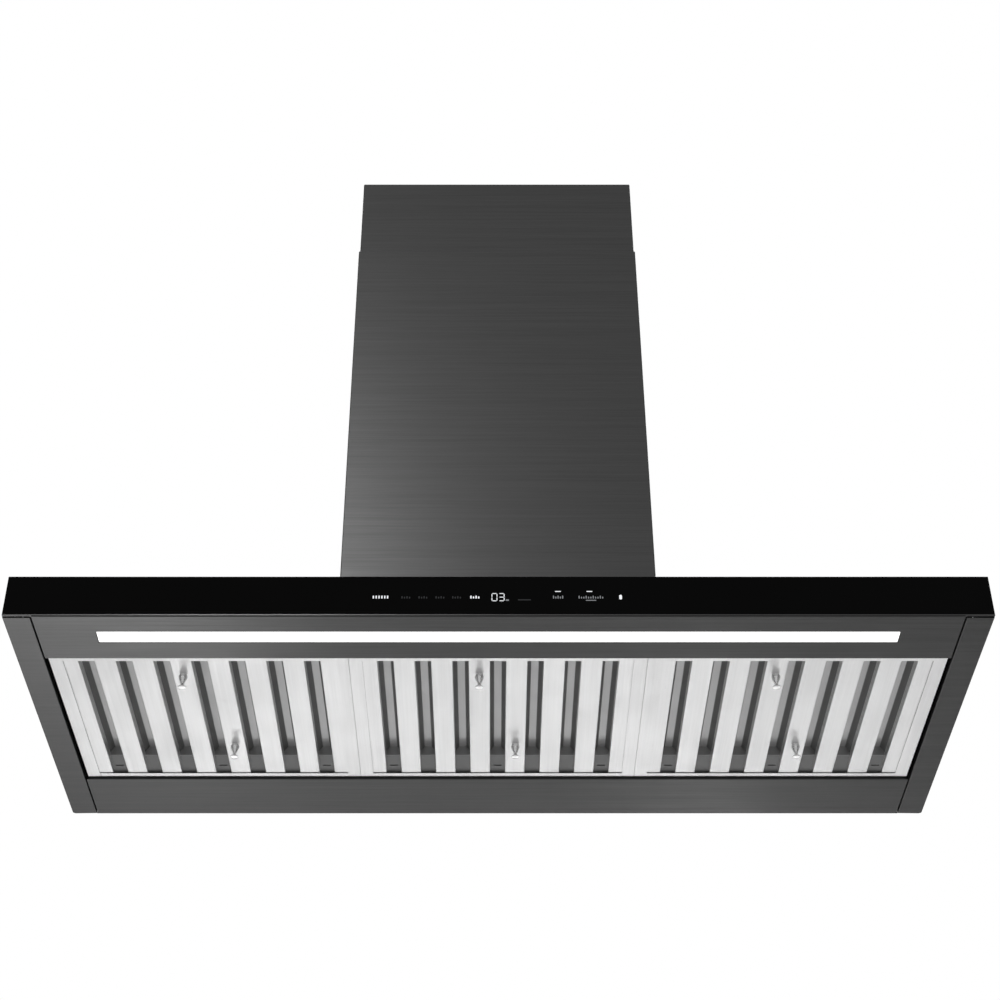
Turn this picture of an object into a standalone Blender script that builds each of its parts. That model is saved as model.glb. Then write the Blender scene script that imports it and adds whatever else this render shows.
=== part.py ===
"""Island range hood: telescoping chimney, slab canopy, three baffle filters, blower and controls.

Frame: metres, +Z up, -Y towards the front, origin at the centre of the ceiling plane.
"""
import math

import bmesh
import bpy
from mathutils import Vector

# Driving dimensions, in metres.
CANOPY_WIDTH = 1.216
CANOPY_DEPTH = 0.508
CANOPY_HEIGHT = 0.059
UNDERSIDE_DROP = 0.870          # ceiling to the canopy's underside
LOWER_COVER_WIDTH = 0.413
LOWER_COVER_DEPTH = 0.302
LOWER_COVER_TOP = -0.146
UPPER_COVER_LENGTH = 0.520
COVER_RUNNING_GAP = 0.0006      # between the two chimney covers, each side
FILTER_WIDTH = 0.3790
FILTER_DEPTH = 0.3062
FILTER_THICKNESS = 0.0255
FILTER_PITCH = 0.3797
FILTER_RECESS = 0.003           # filters sit this far above the underside
FILTER_TRAVEL_GAP = 0.002       # front lip to filter
SLOT_PITCH = 0.0478
SLOT_WIDTH = 0.0202
SLOT_COUNT = 7
LED_LENGTH = 0.996
LED_WIDTH = 0.0233
DUCT_RADIUS = 0.0995            # outside of the 200 mm duct collar
IMPELLER_RADIUS = 0.072
KNOB_HEIGHT = 0.020
LATCH_TRAVEL = 0.008

# Sheet, plate and fit.
PANEL_SHEET = 0.0008
COVER_SHEET = 0.0012
POST_SHEET = 0.002
GLASS_THICKNESS = 0.004
GAP = 0.0003                    # left between pieces that touch
OVERRUN = 0.01                  # how far a cutter reaches past what it cuts

# Where the bottom panels lie, measured back from the canopy's front face.
FRONT_PANEL_START = 0.0012
FRONT_PANEL_END = 0.0966
LED_SLOT_START = 0.0359
REAR_PANEL_START = 0.4085
FRONT_KNOB_SETBACK = 0.140
REAR_KNOB_SETBACK = 0.318

# Bottom rails and folds.
RAIL_WIDTH = 0.034
RAIL_CORNER = 0.005
RAIL_LIP_HEIGHT = 0.012
RAIL_LIP_SETBACK = 0.004        # the rail's lip stops this far before the rear face
PANEL_SEAM = 0.002
DECK_CORNER = 0.0044            # cut off the deck's rear corners for the rails' bends
LIP_HEIGHT = 0.024
GLASS_LIFT = 0.0033             # glass edge above the underside
TRIM_LIFT = 0.0014
TRIM_THICKNESS = 0.0015

# Controls behind the glass and the lamp.
WINDOW_HALF_WIDTH = 0.170
WINDOW_MARGIN = 0.012           # below and above the window and the control case's hollow
CARRIER_END_HALF = 0.0185       # cut away around each rail
TOUCH_BOARD_HALF_WIDTH = 0.165
TOUCH_BOARD_MARGIN = 0.014
BOARD_THICKNESS = 0.0016
CASE_WALL = 0.002
CASE_BACK = -0.2265
CASE_HEADROOM = 0.008
MAIN_BOARD_HALF_WIDTH = 0.150
MAIN_BOARD_DEPTH = (-0.2440, -0.2310)
MAIN_BOARD_LIFT = 0.0145
LENS_TOP = 0.0035               # above the underside
CHANNEL_HEIGHT = 0.020
CHANNEL_WALL = 0.001
CHANNEL_END = 0.008             # channel beyond the lamp slot, at the ends
CHANNEL_SIDE = 0.004            # and at the sides
STRIP_INSET = 0.010
STRIP_HALF_WIDTH = 0.006
STRIP_LIFT = 0.0171

# Levels and faces that follow.
BOTTOM = -UNDERSIDE_DROP
DECK = BOTTOM + CANOPY_HEIGHT
HALF_WIDTH = CANOPY_WIDTH / 2
FRONT = -CANOPY_DEPTH / 2
REAR = CANOPY_DEPTH / 2
GLASS_BACK = FRONT + GLASS_THICKNESS
PANEL_HALF_WIDTH = HALF_WIDTH - RAIL_WIDTH - PANEL_SEAM
DECK_UNDERSIDE = DECK - PANEL_SHEET
PANEL_TOP = BOTTOM + PANEL_SHEET

# Chimney frame.
UPPER_POST_CORNER = (0.185, 0.130)
UPPER_POST_LEG = 0.025
UPPER_POST_FOOT = -0.500
LOWER_POST_CORNER = (0.1825, 0.1275)
LOWER_POST_LEG = 0.022
LOWER_POST_TOP = -0.170
CEILING_PLATE_HALF = (0.198, 0.142)
CEILING_OPENING_HALF = (0.130, 0.105)
CEILING_SCREW_CORNER = (0.160, 0.125)
CEILING_SCREW_RADIUS = 0.0035
UPPER_TIE_LEVELS = (-0.495, -0.475)
UPPER_COVER_TOP = -0.0005
POST_BASE_HALF = (0.200, 0.145)
POST_BASE_OPENING_HALF = (0.160, 0.120)

# Blower.
AIR_OPENING_HALF = (0.140, 0.105)
BLOWER_BOX_HALF = (0.150, 0.115)
BLOWER_BOX_TOP = -0.545
FAN_CENTRE_Y = 0.005
FAN_CENTRE_Z = -0.700
SCROLL_HALF_WIDTH = 0.060
SCROLL_SMALL_RADIUS = 0.081
SCROLL_LARGE_RADIUS = 0.104
SCROLL_TONGUE_ANGLE = math.radians(70)
SCROLL_STEPS = 18
INLET_RADIUS = 0.058
OUTLET_RADIUS = 0.094
IMPELLER_INNER_RADIUS = 0.060
IMPELLER_HALF_WIDTH = 0.050
IMPELLER_RING_WIDTH = 0.003
IMPELLER_DISC_INSET = 0.005
IMPELLER_DISC_HALF = 0.001
HUB_RADIUS = 0.012
HUB_SPAN = (-0.012, 0.008)
BLADE_COUNT = 20
BLADE_INSET = 0.001
BLADE_LEAN = 0.006
BLADE_HALF_THICKNESS = 0.0006
MOTOR_RADIUS = 0.040
MOTOR_END_RADIUS = 0.030
MOTOR_SPAN = (0.010, 0.086)
MOTOR_SHOULDERS = (0.016, 0.078)
MOTOR_BORE_DEPTH = 0.032
BRACKET_THICKNESS = 0.003
BRACKET_RING = 0.006
BRACKET_ARM = (0.043, 0.073)    # from the fan's axis
BRACKET_ARM_HALF = 0.006
BRACKET_ARM_INSET = 0.0002
BRACKET_ARM_ANGLES = (90, 210, 330)
CAPACITOR_PLACE = (-0.122, 0.088, 0.0)
CAPACITOR_SPAN = (-0.785, -0.722)
CAPACITOR_RADIUS = 0.018
CAPACITOR_CAP_RADIUS = 0.014
CAPACITOR_CHAMFER = 0.003
SHAFT_RADIUS = 0.004
SHAFT_SPAN = (-0.016, 0.030)
COLLAR_FLANGE_RADIUS = 0.113
COLLAR_TOP = -0.480
DAMPER_Z = -0.507
DAMPER_HINGE_Y = 0.005
DAMPER_RADIUS = 0.0955
DAMPER_HINGE_CLEARANCE = 0.001
DAMPER_HALF_SHEET = 0.0005
DAMPER_STEPS = 16
DAMPER_PIN_RADIUS = 0.0015
DAMPER_PIN_HALF = 0.1010
DAMPER_PEG_RADIUS = 0.0019
DAMPER_BAR_HALF = (0.0970, 0.009)
DAMPER_BAR_DROP = (0.0036, 0.0022)

# Filter hinge line, behind the rear edge of each filter.
FILTER_REAR = FRONT + FRONT_PANEL_END + FILTER_TRAVEL_GAP + FILTER_DEPTH
FILTER_HINGE_Y = FILTER_REAR + 0.0025
FILTER_HINGE_Z = BOTTOM + FILTER_RECESS + 0.001

# Filter pieces are modelled around the middle of the hinge line.
FILTER_HALF = FILTER_WIDTH / 2
FILTER_Y0 = FILTER_REAR - FILTER_DEPTH - FILTER_HINGE_Y
FILTER_Y1 = FILTER_REAR - FILTER_HINGE_Y
FILTER_Z0 = BOTTOM + FILTER_RECESS - FILTER_HINGE_Z
FILTER_Z1 = FILTER_Z0 + FILTER_THICKNESS
SIDE_FLANGE = 0.017
END_FLANGE = 0.0082
TOP_FLANGE = 0.0082
TAB_WIDTH = 0.020
TAB_OFFSET = 0.120
BAR_FLANGE = 0.012
BAR_Z = FILTER_Z0 + PANEL_SHEET + GAP
BAFFLE_END_GAP = 0.0012
LATCH_X = -SLOT_PITCH / 2
GRIP_X = SLOT_PITCH / 2
LATCH_Y = FRONT + FRONT_KNOB_SETBACK - FILTER_HINGE_Y
GRIP_Y = FRONT + REAR_KNOB_SETBACK - FILTER_HINGE_Y
NOSE_GAP = 0.0004
BOLT_Z = BAR_Z + PANEL_SHEET + GAP
BOLT_THICKNESS = 0.0016
SPRING_LENGTH = 0.020
TAB_HALF_THICKNESS = 0.0006
TAB_ROOT = 0.0004               # a tab starts this far inside the rim's rear wall
TAB_TIP = 0.0045
TAB_SLOT_MARGIN = 0.002
TAB_SLOT_TOP = 0.0065
DRAIN_HALF_WIDTH = 0.0066
DRAIN_LEVELS = (0.0170, 0.0196)
DRAIN_SLOTS = (-3, 0, 3)
BOLT_HALF_WIDTH = 0.004
BOLT_ROOM = (0.001, 0.0006)     # around the bolt in its hole, sideways and upwards
BOLT_TAIL = 0.0073              # behind the knob's axis
WALL_REACH = 0.004              # cutters through the rim's front and rear walls
KNOB_SLOT_HALF = 0.0031
STRIP_DEPTH = 0.006             # cross strips that tie the baffles' ends
STOP_SIZE = (0.004, 0.001, 0.0060)
STOP_ROOT = 0.0004
BAFFLE_CLEARANCE = 0.0075       # upper baffles' feet above the bars
WEB_HALF = 0.0054
FOOT_HALF = 0.0165
SPRING_TURNS = 6
SPRING_WIRE = 0.0003
SPRING_COIL = 0.0016
SPRING_STEPS = 8                # straight pieces of wire in one turn
SPRING_SIDES = 5
SPRING_LIFT = 0.0019
STEM_RADIUS = 0.0025
# Radius and drop below the baffle, down to the tip.
KNOB_PROFILE = [(0.0048, 0.0), (0.0048, 0.0012), (0.0026, 0.0030), (0.0026, 0.0090),
                (0.0060, 0.0140), (0.0056, 0.0170), (0.0036, KNOB_HEIGHT - 0.0008),
                (0.0, KNOB_HEIGHT)]


def clear_scene():
    for item in list(bpy.data.objects):
        bpy.data.objects.remove(item, do_unlink=True)


def make_material(name, colour, metallic, roughness):
    material = bpy.data.materials.new(name)
    material.use_nodes = True
    shader = material.node_tree.nodes["Principled BSDF"]
    shader.inputs["Base Color"].default_value = (*colour, 1.0)
    shader.inputs["Metallic"].default_value = metallic
    shader.inputs["Roughness"].default_value = roughness
    return material


def make_materials():
    return {
        "dark_steel": make_material("dark_brushed_steel", (0.20, 0.20, 0.20), 1.0, 0.34),
        "bright_steel": make_material("bright_brushed_steel", (0.72, 0.72, 0.72), 1.0, 0.28),
        "galvanised": make_material("galvanised_steel", (0.55, 0.57, 0.58), 1.0, 0.50),
        "glass": make_material("black_glass", (0.01, 0.01, 0.01), 0.0, 0.04),
        "diffuser": make_material("lamp_diffuser", (0.95, 0.95, 0.95), 0.0, 0.40),
        "board": make_material("circuit_board", (0.03, 0.14, 0.07), 0.0, 0.50),
        "black_plastic": make_material("black_plastic", (0.03, 0.03, 0.03), 0.0, 0.55),
        "chrome": make_material("chrome", (0.80, 0.80, 0.80), 1.0, 0.08),
        "spring": make_material("spring_steel", (0.60, 0.60, 0.60), 1.0, 0.30),
        "motor": make_material("motor_casting", (0.35, 0.35, 0.36), 1.0, 0.55),
    }


def add_piece(name, mesh, material, parent=None, location=(0.0, 0.0, 0.0)):
    """Link one named object that shows the mesh, placed relative to its parent."""
    if not mesh.materials:
        mesh.materials.append(material)
    piece = bpy.data.objects.new(name, mesh)
    bpy.context.scene.collection.objects.link(piece)
    piece.location = location
    piece.parent = parent
    return piece


def add_pivot(name, location, parent=None):
    """Add an empty on a joint's axis; what hangs on it is modelled around its own origin."""
    pivot = bpy.data.objects.new(name, None)
    bpy.context.scene.collection.objects.link(pivot)
    pivot.location = location
    pivot.parent = parent
    return pivot


def mesh_from(shape, name):
    bmesh.ops.remove_doubles(shape, verts=shape.verts, dist=1e-6)
    bmesh.ops.recalc_face_normals(shape, faces=shape.faces)
    mesh = bpy.data.meshes.new(name)
    shape.to_mesh(mesh)
    shape.free()
    return mesh


def prism(name, outline, direction, start, end):
    """Extrude a flat outline along X, Y or Z. The outline's axes are the other two, in order."""
    across = {"X": (1, 2), "Y": (0, 2), "Z": (0, 1)}[direction]
    along = "XYZ".index(direction)
    shape = bmesh.new()
    corners = []
    for first, second in outline:
        point = [0.0, 0.0, 0.0]
        point[across[0]] = first
        point[across[1]] = second
        point[along] = start
        corners.append(shape.verts.new(point))
    base = shape.faces.new(corners)
    raised = bmesh.ops.extrude_face_region(shape, geom=[base])["geom"]
    step = Vector((0.0, 0.0, 0.0))
    step[along] = end - start
    tops = [item for item in raised if isinstance(item, bmesh.types.BMVert)]
    bmesh.ops.translate(shape, verts=tops, vec=step)
    return mesh_from(shape, name)


def rectangle(low, high):
    return [(low[0], low[1]), (high[0], low[1]), (high[0], high[1]), (low[0], high[1])]


def block(name, low, high):
    return prism(name, rectangle(low[:2], high[:2]), "Z", low[2], high[2])


def turned(name, profile, direction, centre, segments, closed=False):
    """Spin a profile of (radius, position) pairs about an axis along X, Y or Z."""
    along = "XYZ".index(direction)
    out = (along + 1) % 3
    shape = bmesh.new()
    ring = []
    for radius, position in profile:
        point = [0.0, 0.0, 0.0]
        point[along] = position
        point[out] = radius
        ring.append(shape.verts.new(point))
    edges = [shape.edges.new(pair) for pair in zip(ring, ring[1:])]
    if closed:
        edges.append(shape.edges.new((ring[-1], ring[0])))
    axis = Vector((0.0, 0.0, 0.0))
    axis[along] = 1.0
    bmesh.ops.spin(shape, geom=ring + edges, cent=(0.0, 0.0, 0.0), axis=axis,
                   angle=math.tau, steps=segments, use_merge=True)
    bmesh.ops.translate(shape, verts=shape.verts, vec=Vector(centre))
    mesh = mesh_from(shape, name)
    mesh.shade_smooth()
    mesh.set_sharp_from_angle(angle=math.radians(35))
    return mesh


def rod(name, radius, direction, start, end, centre, segments=16):
    return turned(name, [(0.0, start), (radius, start), (radius, end), (0.0, end)],
                  direction, centre, segments)


def pipe(name, inner, outer, direction, start, end, centre, segments=32):
    profile = [(inner, start), (outer, start), (outer, end), (inner, end)]
    return turned(name, profile, direction, centre, segments, closed=True)


def combined(mesh, others, operation):
    """Return the mesh after a Boolean with each of the other meshes in turn."""
    stock = bpy.data.objects.new("stock", mesh)
    bpy.context.scene.collection.objects.link(stock)
    tools = []
    for other in others:
        tool = bpy.data.objects.new("tool", other)
        bpy.context.scene.collection.objects.link(tool)
        tool.hide_render = True
        tool.display_type = "WIRE"
        tools.append(tool)
        step = stock.modifiers.new("Boolean", "BOOLEAN")
        step.operation = operation
        step.solver = "EXACT"
        step.object = tool
    graph = bpy.context.evaluated_depsgraph_get()
    result = bpy.data.meshes.new_from_object(stock.evaluated_get(graph))
    result.materials.clear()
    for item in [stock] + tools:
        bpy.data.objects.remove(item, do_unlink=True)
    return result


def cut(mesh, *cutters):
    return combined(mesh, cutters, "DIFFERENCE")


def joined(mesh, *others):
    return combined(mesh, others, "UNION")


def folded(name, corners, faces, thickness):
    """A folded sheet: the faces are its outer skin, and its thickness lies behind them."""
    skin = bpy.data.meshes.new(name)
    skin.from_pydata(corners, [], faces)
    sheet = bpy.data.objects.new("sheet", skin)
    bpy.context.scene.collection.objects.link(sheet)
    wall = sheet.modifiers.new("Solidify", "SOLIDIFY")
    wall.thickness = thickness
    wall.offset = -1.0
    wall.solidify_mode = "NON_MANIFOLD"
    wall.nonmanifold_thickness_mode = "CONSTRAINTS"
    graph = bpy.context.evaluated_depsgraph_get()
    result = bpy.data.meshes.new_from_object(sheet.evaluated_get(graph))
    result.name = name
    bpy.data.objects.remove(sheet, do_unlink=True)
    return result


def square_tube(name, half, start, end, wall):
    """A rectangular tube standing along Z; half is its outer half width and half depth."""
    x, y = half
    outer = [(-x, -y), (x, -y), (x, y), (-x, y)]
    corners = [(px, py, level) for level in (start, end) for px, py in outer]
    faces = [(i, (i + 1) % 4, (i + 1) % 4 + 4, i + 4) for i in range(4)]
    return folded(name, corners, faces, wall)


def angle_post(name, leg, start, end):
    """An L post along Z whose outer corner is at its origin, legs towards -X and -Y."""
    outline = [(0, 0), (-leg, 0), (-leg, -POST_SHEET), (-POST_SHEET, -POST_SHEET),
               (-POST_SHEET, -leg), (0, -leg)]
    return prism(name, outline, "Z", start, end)


def add_posts(prefix, corner, mesh, material, parent):
    """Stand one post at each chimney corner, turned so that its legs point inwards."""
    x, y = corner
    places = {
        "rear_right": (x, y, 0), "rear_left": (-x, y, 90),
        "front_left": (-x, -y, 180), "front_right": (x, -y, 270),
    }
    for place, (px, py, turn) in places.items():
        post = add_piece(f"{prefix}_{place}", mesh, material, parent, (px, py, 0.0))
        post.rotation_euler.z = math.radians(turn)


def build_ceiling_mount(materials):
    """The fixed half: ceiling plate, upper posts and their ties, and the upper cover."""
    steel = materials["galvanised"]
    x, y = CEILING_PLATE_HALF
    ox, oy = CEILING_OPENING_HALF
    plate = block("ceiling_plate", (-x, -y, -POST_SHEET), (x, y, 0.0))
    opening = block("opening", (-ox, -oy, -OVERRUN), (ox, oy, OVERRUN))
    screw_x, screw_y = CEILING_SCREW_CORNER
    screws = [rod("screw", CEILING_SCREW_RADIUS, "Z", -OVERRUN, OVERRUN,
                  (sx * screw_x, sy * screw_y, 0.0), 12)
              for sx in (-1, 1) for sy in (-1, 1)]
    add_piece("ceiling_plate", cut(plate, opening, *screws), steel)

    post = angle_post("upper_post", UPPER_POST_LEG, UPPER_POST_FOOT, -POST_SHEET - GAP)
    add_posts("upper_post", UPPER_POST_CORNER, post, steel, None)
    px, py = UPPER_POST_CORNER
    tie_low, tie_high = UPPER_TIE_LEVELS
    for side, sign in (("front", -1), ("rear", 1)):
        near, far = sorted((sign * (py + GAP), sign * (py + GAP + POST_SHEET)))
        tie = block(f"upper_tie_{side}", (-px, near, tie_low), (px, far, tie_high))
        add_piece(f"upper_tie_{side}", tie, steel)

    inset = COVER_SHEET + COVER_RUNNING_GAP
    half = (LOWER_COVER_WIDTH / 2 - inset, LOWER_COVER_DEPTH / 2 - inset)
    cover = square_tube("upper_cover", half, -UPPER_COVER_LENGTH, UPPER_COVER_TOP, COVER_SHEET)
    add_piece("upper_chimney_cover", cover, materials["dark_steel"])


def build_lower_chimney(materials, hood):
    steel = materials["galvanised"]
    x, y = POST_BASE_HALF
    ring = block("post_base", (-x, -y, DECK + GAP), (x, y, DECK + GAP + POST_SHEET))
    x, y = POST_BASE_OPENING_HALF
    hole = block("hole", (-x, -y, DECK - OVERRUN), (x, y, DECK + OVERRUN))
    add_piece("post_base_ring", cut(ring, hole), steel, hood)

    foot = DECK + POST_SHEET + 2 * GAP
    post = angle_post("lower_post", LOWER_POST_LEG, foot, LOWER_POST_TOP)
    add_posts("lower_post", LOWER_POST_CORNER, post, steel, hood)

    half = (LOWER_COVER_WIDTH / 2, LOWER_COVER_DEPTH / 2)
    cover = square_tube("lower_cover", half, DECK + GAP, LOWER_COVER_TOP, COVER_SHEET)
    add_piece("lower_chimney_cover", cover, materials["dark_steel"], hood)


def rail_mesh(sign):
    """End rail: outer wall round the rear corner, flat bottom flange and an upturned inner lip."""
    outer = HALF_WIDTH
    inner = HALF_WIDTH - RAIL_WIDTH
    front = GLASS_BACK + GAP
    turn = 4
    plan = [(outer, front), (outer, REAR - RAIL_CORNER)]
    for step in range(1, turn + 1):
        angle = math.radians(90 * step / turn)
        plan.append((outer - RAIL_CORNER + RAIL_CORNER * math.cos(angle),
                     REAR - RAIL_CORNER + RAIL_CORNER * math.sin(angle)))
    plan.append((inner, REAR))
    count = len(plan)
    corners = [(sign * x, y, BOTTOM) for x, y in plan]
    corners += [(sign * x, y, DECK) for x, y in plan]
    lip_rear = REAR - RAIL_LIP_SETBACK
    for level in (BOTTOM, BOTTOM + RAIL_LIP_HEIGHT):
        corners += [(sign * inner, lip_rear, level), (sign * inner, front, level)]
    base = 2 * count
    faces = [(i, i + 1, count + i + 1, count + i) for i in range(count - 1)]
    faces.append(tuple(reversed([*range(count), base, base + 1])))
    faces.append((base, base + 1, base + 3, base + 2))
    if sign < 0:
        faces = [tuple(reversed(face)) for face in faces]
    return folded("side_rail", corners, faces, PANEL_SHEET)


def deck_mesh():
    """Flat top of the canopy with the air opening; its rear corners clear the rails' bends."""
    x = HALF_WIDTH - PANEL_SHEET - GAP
    front = GLASS_BACK + GAP
    rear = REAR - PANEL_SHEET - GAP
    outline = [(-x, front), (x, front), (x, rear - DECK_CORNER), (x - DECK_CORNER, rear),
               (-x + DECK_CORNER, rear), (-x, rear - DECK_CORNER)]
    deck = prism("deck", outline, "Z", DECK_UNDERSIDE, DECK)
    ax, ay = AIR_OPENING_HALF
    return cut(deck, block("air", (-ax, -ay, DECK - OVERRUN), (ax, ay, DECK + OVERRUN)))


def lip_outline(back, front, sign):
    """Cross-section in Y and Z of a bottom panel whose filter-side edge turns up as a lip."""
    lip = back if sign > 0 else front
    other = front if sign > 0 else back
    inner = lip - sign * PANEL_SHEET
    top = BOTTOM + LIP_HEIGHT
    return [(other, BOTTOM), (lip, BOTTOM), (lip, top), (inner, top), (inner, PANEL_TOP),
            (other, PANEL_TOP)]


def build_canopy(materials, hood):
    dark = materials["dark_steel"]
    add_piece("canopy_top_panel", deck_mesh(), dark, hood)
    for side, sign in (("left", -1), ("right", 1)):
        add_piece(f"side_rail_{side}", rail_mesh(sign), dark, hood)

    back_x = HALF_WIDTH - RAIL_WIDTH - GAP
    wall = block("rear_wall", (-back_x, REAR - PANEL_SHEET, BOTTOM),
                 (back_x, REAR, DECK_UNDERSIDE - GAP))
    add_piece("rear_wall", wall, dark, hood)

    x = PANEL_HALF_WIDTH
    front_outline = lip_outline(FRONT + FRONT_PANEL_END, FRONT + FRONT_PANEL_START, 1)
    front_panel = prism("front_panel", front_outline, "X", -x, x)
    slot_y = FRONT + LED_SLOT_START
    lamp_slot = block("lamp_slot", (-LED_LENGTH / 2, slot_y, BOTTOM - OVERRUN),
                      (LED_LENGTH / 2, slot_y + LED_WIDTH, BOTTOM + OVERRUN))
    add_piece("front_bottom_panel", cut(front_panel, lamp_slot), dark, hood)

    rear_y = FRONT + REAR_PANEL_START
    rear_outline = lip_outline(REAR - PANEL_SHEET - GAP, rear_y, -1)
    rear_panel = prism("rear_panel", rear_outline, "X", -x, x)
    tab_slots = []
    for centre in filter_centres().values():
        for tab_x in (-TAB_OFFSET, TAB_OFFSET):
            middle = centre + tab_x
            half = TAB_WIDTH / 2 + TAB_SLOT_MARGIN
            low = (middle - half, rear_y - OVERRUN, PANEL_TOP + GAP)
            high = (middle + half, rear_y + OVERRUN, FILTER_HINGE_Z + TAB_SLOT_TOP)
            tab_slots.append(block("tab_slot", low, high))
    add_piece("rear_bottom_panel", cut(rear_panel, *tab_slots), dark, hood)


def build_front(materials, hood):
    """Glass fascia, the steel carrier behind it, and the touch electronics."""
    x = HALF_WIDTH
    glass = block("glass", (-x, FRONT, BOTTOM + GLASS_LIFT), (x, GLASS_BACK, DECK))
    add_piece("front_glass", glass, materials["glass"], hood)

    back = GLASS_BACK + GAP + PANEL_SHEET
    face = GLASS_BACK + GAP
    top = DECK_UNDERSIDE - GAP
    low = BOTTOM + TRIM_LIFT
    lip = FRONT + GAP
    outline = [(lip, low), (back, low), (back, top), (face, top), (face, low + TRIM_THICKNESS),
               (lip, low + TRIM_THICKNESS)]
    carrier = prism("carrier", outline, "X", -x, x)
    window = block("window", (-WINDOW_HALF_WIDTH, FRONT, BOTTOM + WINDOW_MARGIN),
                   (WINDOW_HALF_WIDTH, face + OVERRUN, DECK - WINDOW_MARGIN))
    rail_middle = HALF_WIDTH - RAIL_WIDTH / 2
    ends = [block("end", (sign * rail_middle - CARRIER_END_HALF, face - GAP, BOTTOM),
                  (sign * rail_middle + CARRIER_END_HALF, face + OVERRUN, DECK))
            for sign in (-1, 1)]
    add_piece("glass_carrier", cut(carrier, window, *ends), materials["bright_steel"], hood)

    half = TOUCH_BOARD_HALF_WIDTH
    board = block("touch_board", (-half, face, BOTTOM + TOUCH_BOARD_MARGIN),
                  (half, face + BOARD_THICKNESS, DECK - TOUCH_BOARD_MARGIN))
    add_piece("touch_board", board, materials["board"], hood)

    inner = WINDOW_HALF_WIDTH
    outer = inner + CASE_WALL
    case_low = BOTTOM + WINDOW_MARGIN - CASE_WALL
    case = block("case", (-outer, back + GAP, case_low), (outer, CASE_BACK, DECK - CASE_HEADROOM))
    hollow = block("hollow", (-inner, FRONT, BOTTOM + WINDOW_MARGIN),
                   (inner, CASE_BACK - CASE_WALL, DECK - CASE_HEADROOM - CASE_WALL))
    add_piece("control_case", cut(case, hollow), materials["black_plastic"], hood)
    half = MAIN_BOARD_HALF_WIDTH
    near, far = MAIN_BOARD_DEPTH
    level = BOTTOM + MAIN_BOARD_LIFT
    driver = block("main_board", (-half, near, level), (half, far, level + BOARD_THICKNESS))
    add_piece("main_board", driver, materials["board"], hood)


def build_lamp(materials, hood):
    """LED strip: diffuser flush in the bottom panel, channel housing and its board."""
    x = LED_LENGTH / 2
    y0 = FRONT + LED_SLOT_START
    y1 = y0 + LED_WIDTH
    lens = block("lens", (-x + GAP, y0 + GAP, BOTTOM + GAP), (x - GAP, y1 - GAP, BOTTOM + LENS_TOP))
    add_piece("led_diffuser", lens, materials["diffuser"], hood)
    low = PANEL_TOP + GAP
    end, side = CHANNEL_END, CHANNEL_SIDE
    outer = block("channel", (-x - end, y0 - side, low), (x + end, y1 + side, low + CHANNEL_HEIGHT))
    end, side = end - CHANNEL_WALL, side - CHANNEL_WALL
    inner = block("inside", (-x - end, y0 - side, low - OVERRUN),
                  (x + end, y1 + side, low + CHANNEL_HEIGHT - CHANNEL_WALL))
    add_piece("led_housing", cut(outer, inner), materials["bright_steel"], hood)
    middle = (y0 + y1) / 2
    half = x - STRIP_INSET
    level = low + STRIP_LIFT
    strip = block("strip", (-half, middle - STRIP_HALF_WIDTH, level),
                  (half, middle + STRIP_HALF_WIDTH, level + BOARD_THICKNESS))
    add_piece("led_board", strip, materials["board"], hood)


def scroll_outline(grow, top):
    """Spiral of the fan housing in Y and Z, open upwards into a straight outlet."""
    outline = []
    sweep = math.tau - SCROLL_TONGUE_ANGLE
    for step in range(SCROLL_STEPS + 1):
        part = step / SCROLL_STEPS
        radius = SCROLL_LARGE_RADIUS + part * (SCROLL_SMALL_RADIUS - SCROLL_LARGE_RADIUS) + grow
        angle = -part * sweep
        outline.append((FAN_CENTRE_Y + radius * math.cos(angle),
                        FAN_CENTRE_Z + radius * math.sin(angle)))
    tongue_y = outline[-1][0] - 2 * grow
    outline += [(tongue_y, top), (FAN_CENTRE_Y + SCROLL_LARGE_RADIUS + grow, top)]
    return outline


def impeller_mesh():
    """Double-inlet wheel: centre disc with its hub, two end rings and forward blades between."""
    half = IMPELLER_HALF_WIDTH
    bore = SHAFT_RADIUS + GAP
    rim = IMPELLER_RADIUS - IMPELLER_DISC_INSET
    hub_start, hub_end = HUB_SPAN
    profile = [(bore, hub_start), (HUB_RADIUS, hub_start), (HUB_RADIUS, -IMPELLER_DISC_HALF),
               (rim, -IMPELLER_DISC_HALF), (rim, IMPELLER_DISC_HALF),
               (HUB_RADIUS, IMPELLER_DISC_HALF), (HUB_RADIUS, hub_end), (bore, hub_end)]
    disc = turned("disc", profile, "X", (0, 0, 0), 36, closed=True)
    rings = [pipe("ring", IMPELLER_INNER_RADIUS, IMPELLER_RADIUS, "X",
                  start, start + IMPELLER_RING_WIDTH, (0, 0, 0), 40)
             for start in (-half, half - IMPELLER_RING_WIDTH)]
    inner = Vector((IMPELLER_INNER_RADIUS + BLADE_INSET, 0.0))
    outer = Vector((IMPELLER_RADIUS - BLADE_INSET, BLADE_LEAN))
    chord = outer - inner
    side = Vector((-chord.y, chord.x)).normalized() * BLADE_HALF_THICKNESS
    blades = []
    for step in range(BLADE_COUNT):
        turn = math.tau * step / BLADE_COUNT
        outline = []
        for point in (inner - side, outer - side, outer + side, inner + side):
            outline.append((point.x * math.cos(turn) - point.y * math.sin(turn),
                            point.x * math.sin(turn) + point.y * math.cos(turn)))
        blades.append(prism("blade", outline, "X", -half + BLADE_INSET, half - BLADE_INSET))
    return joined(disc, *rings, *blades)


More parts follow.
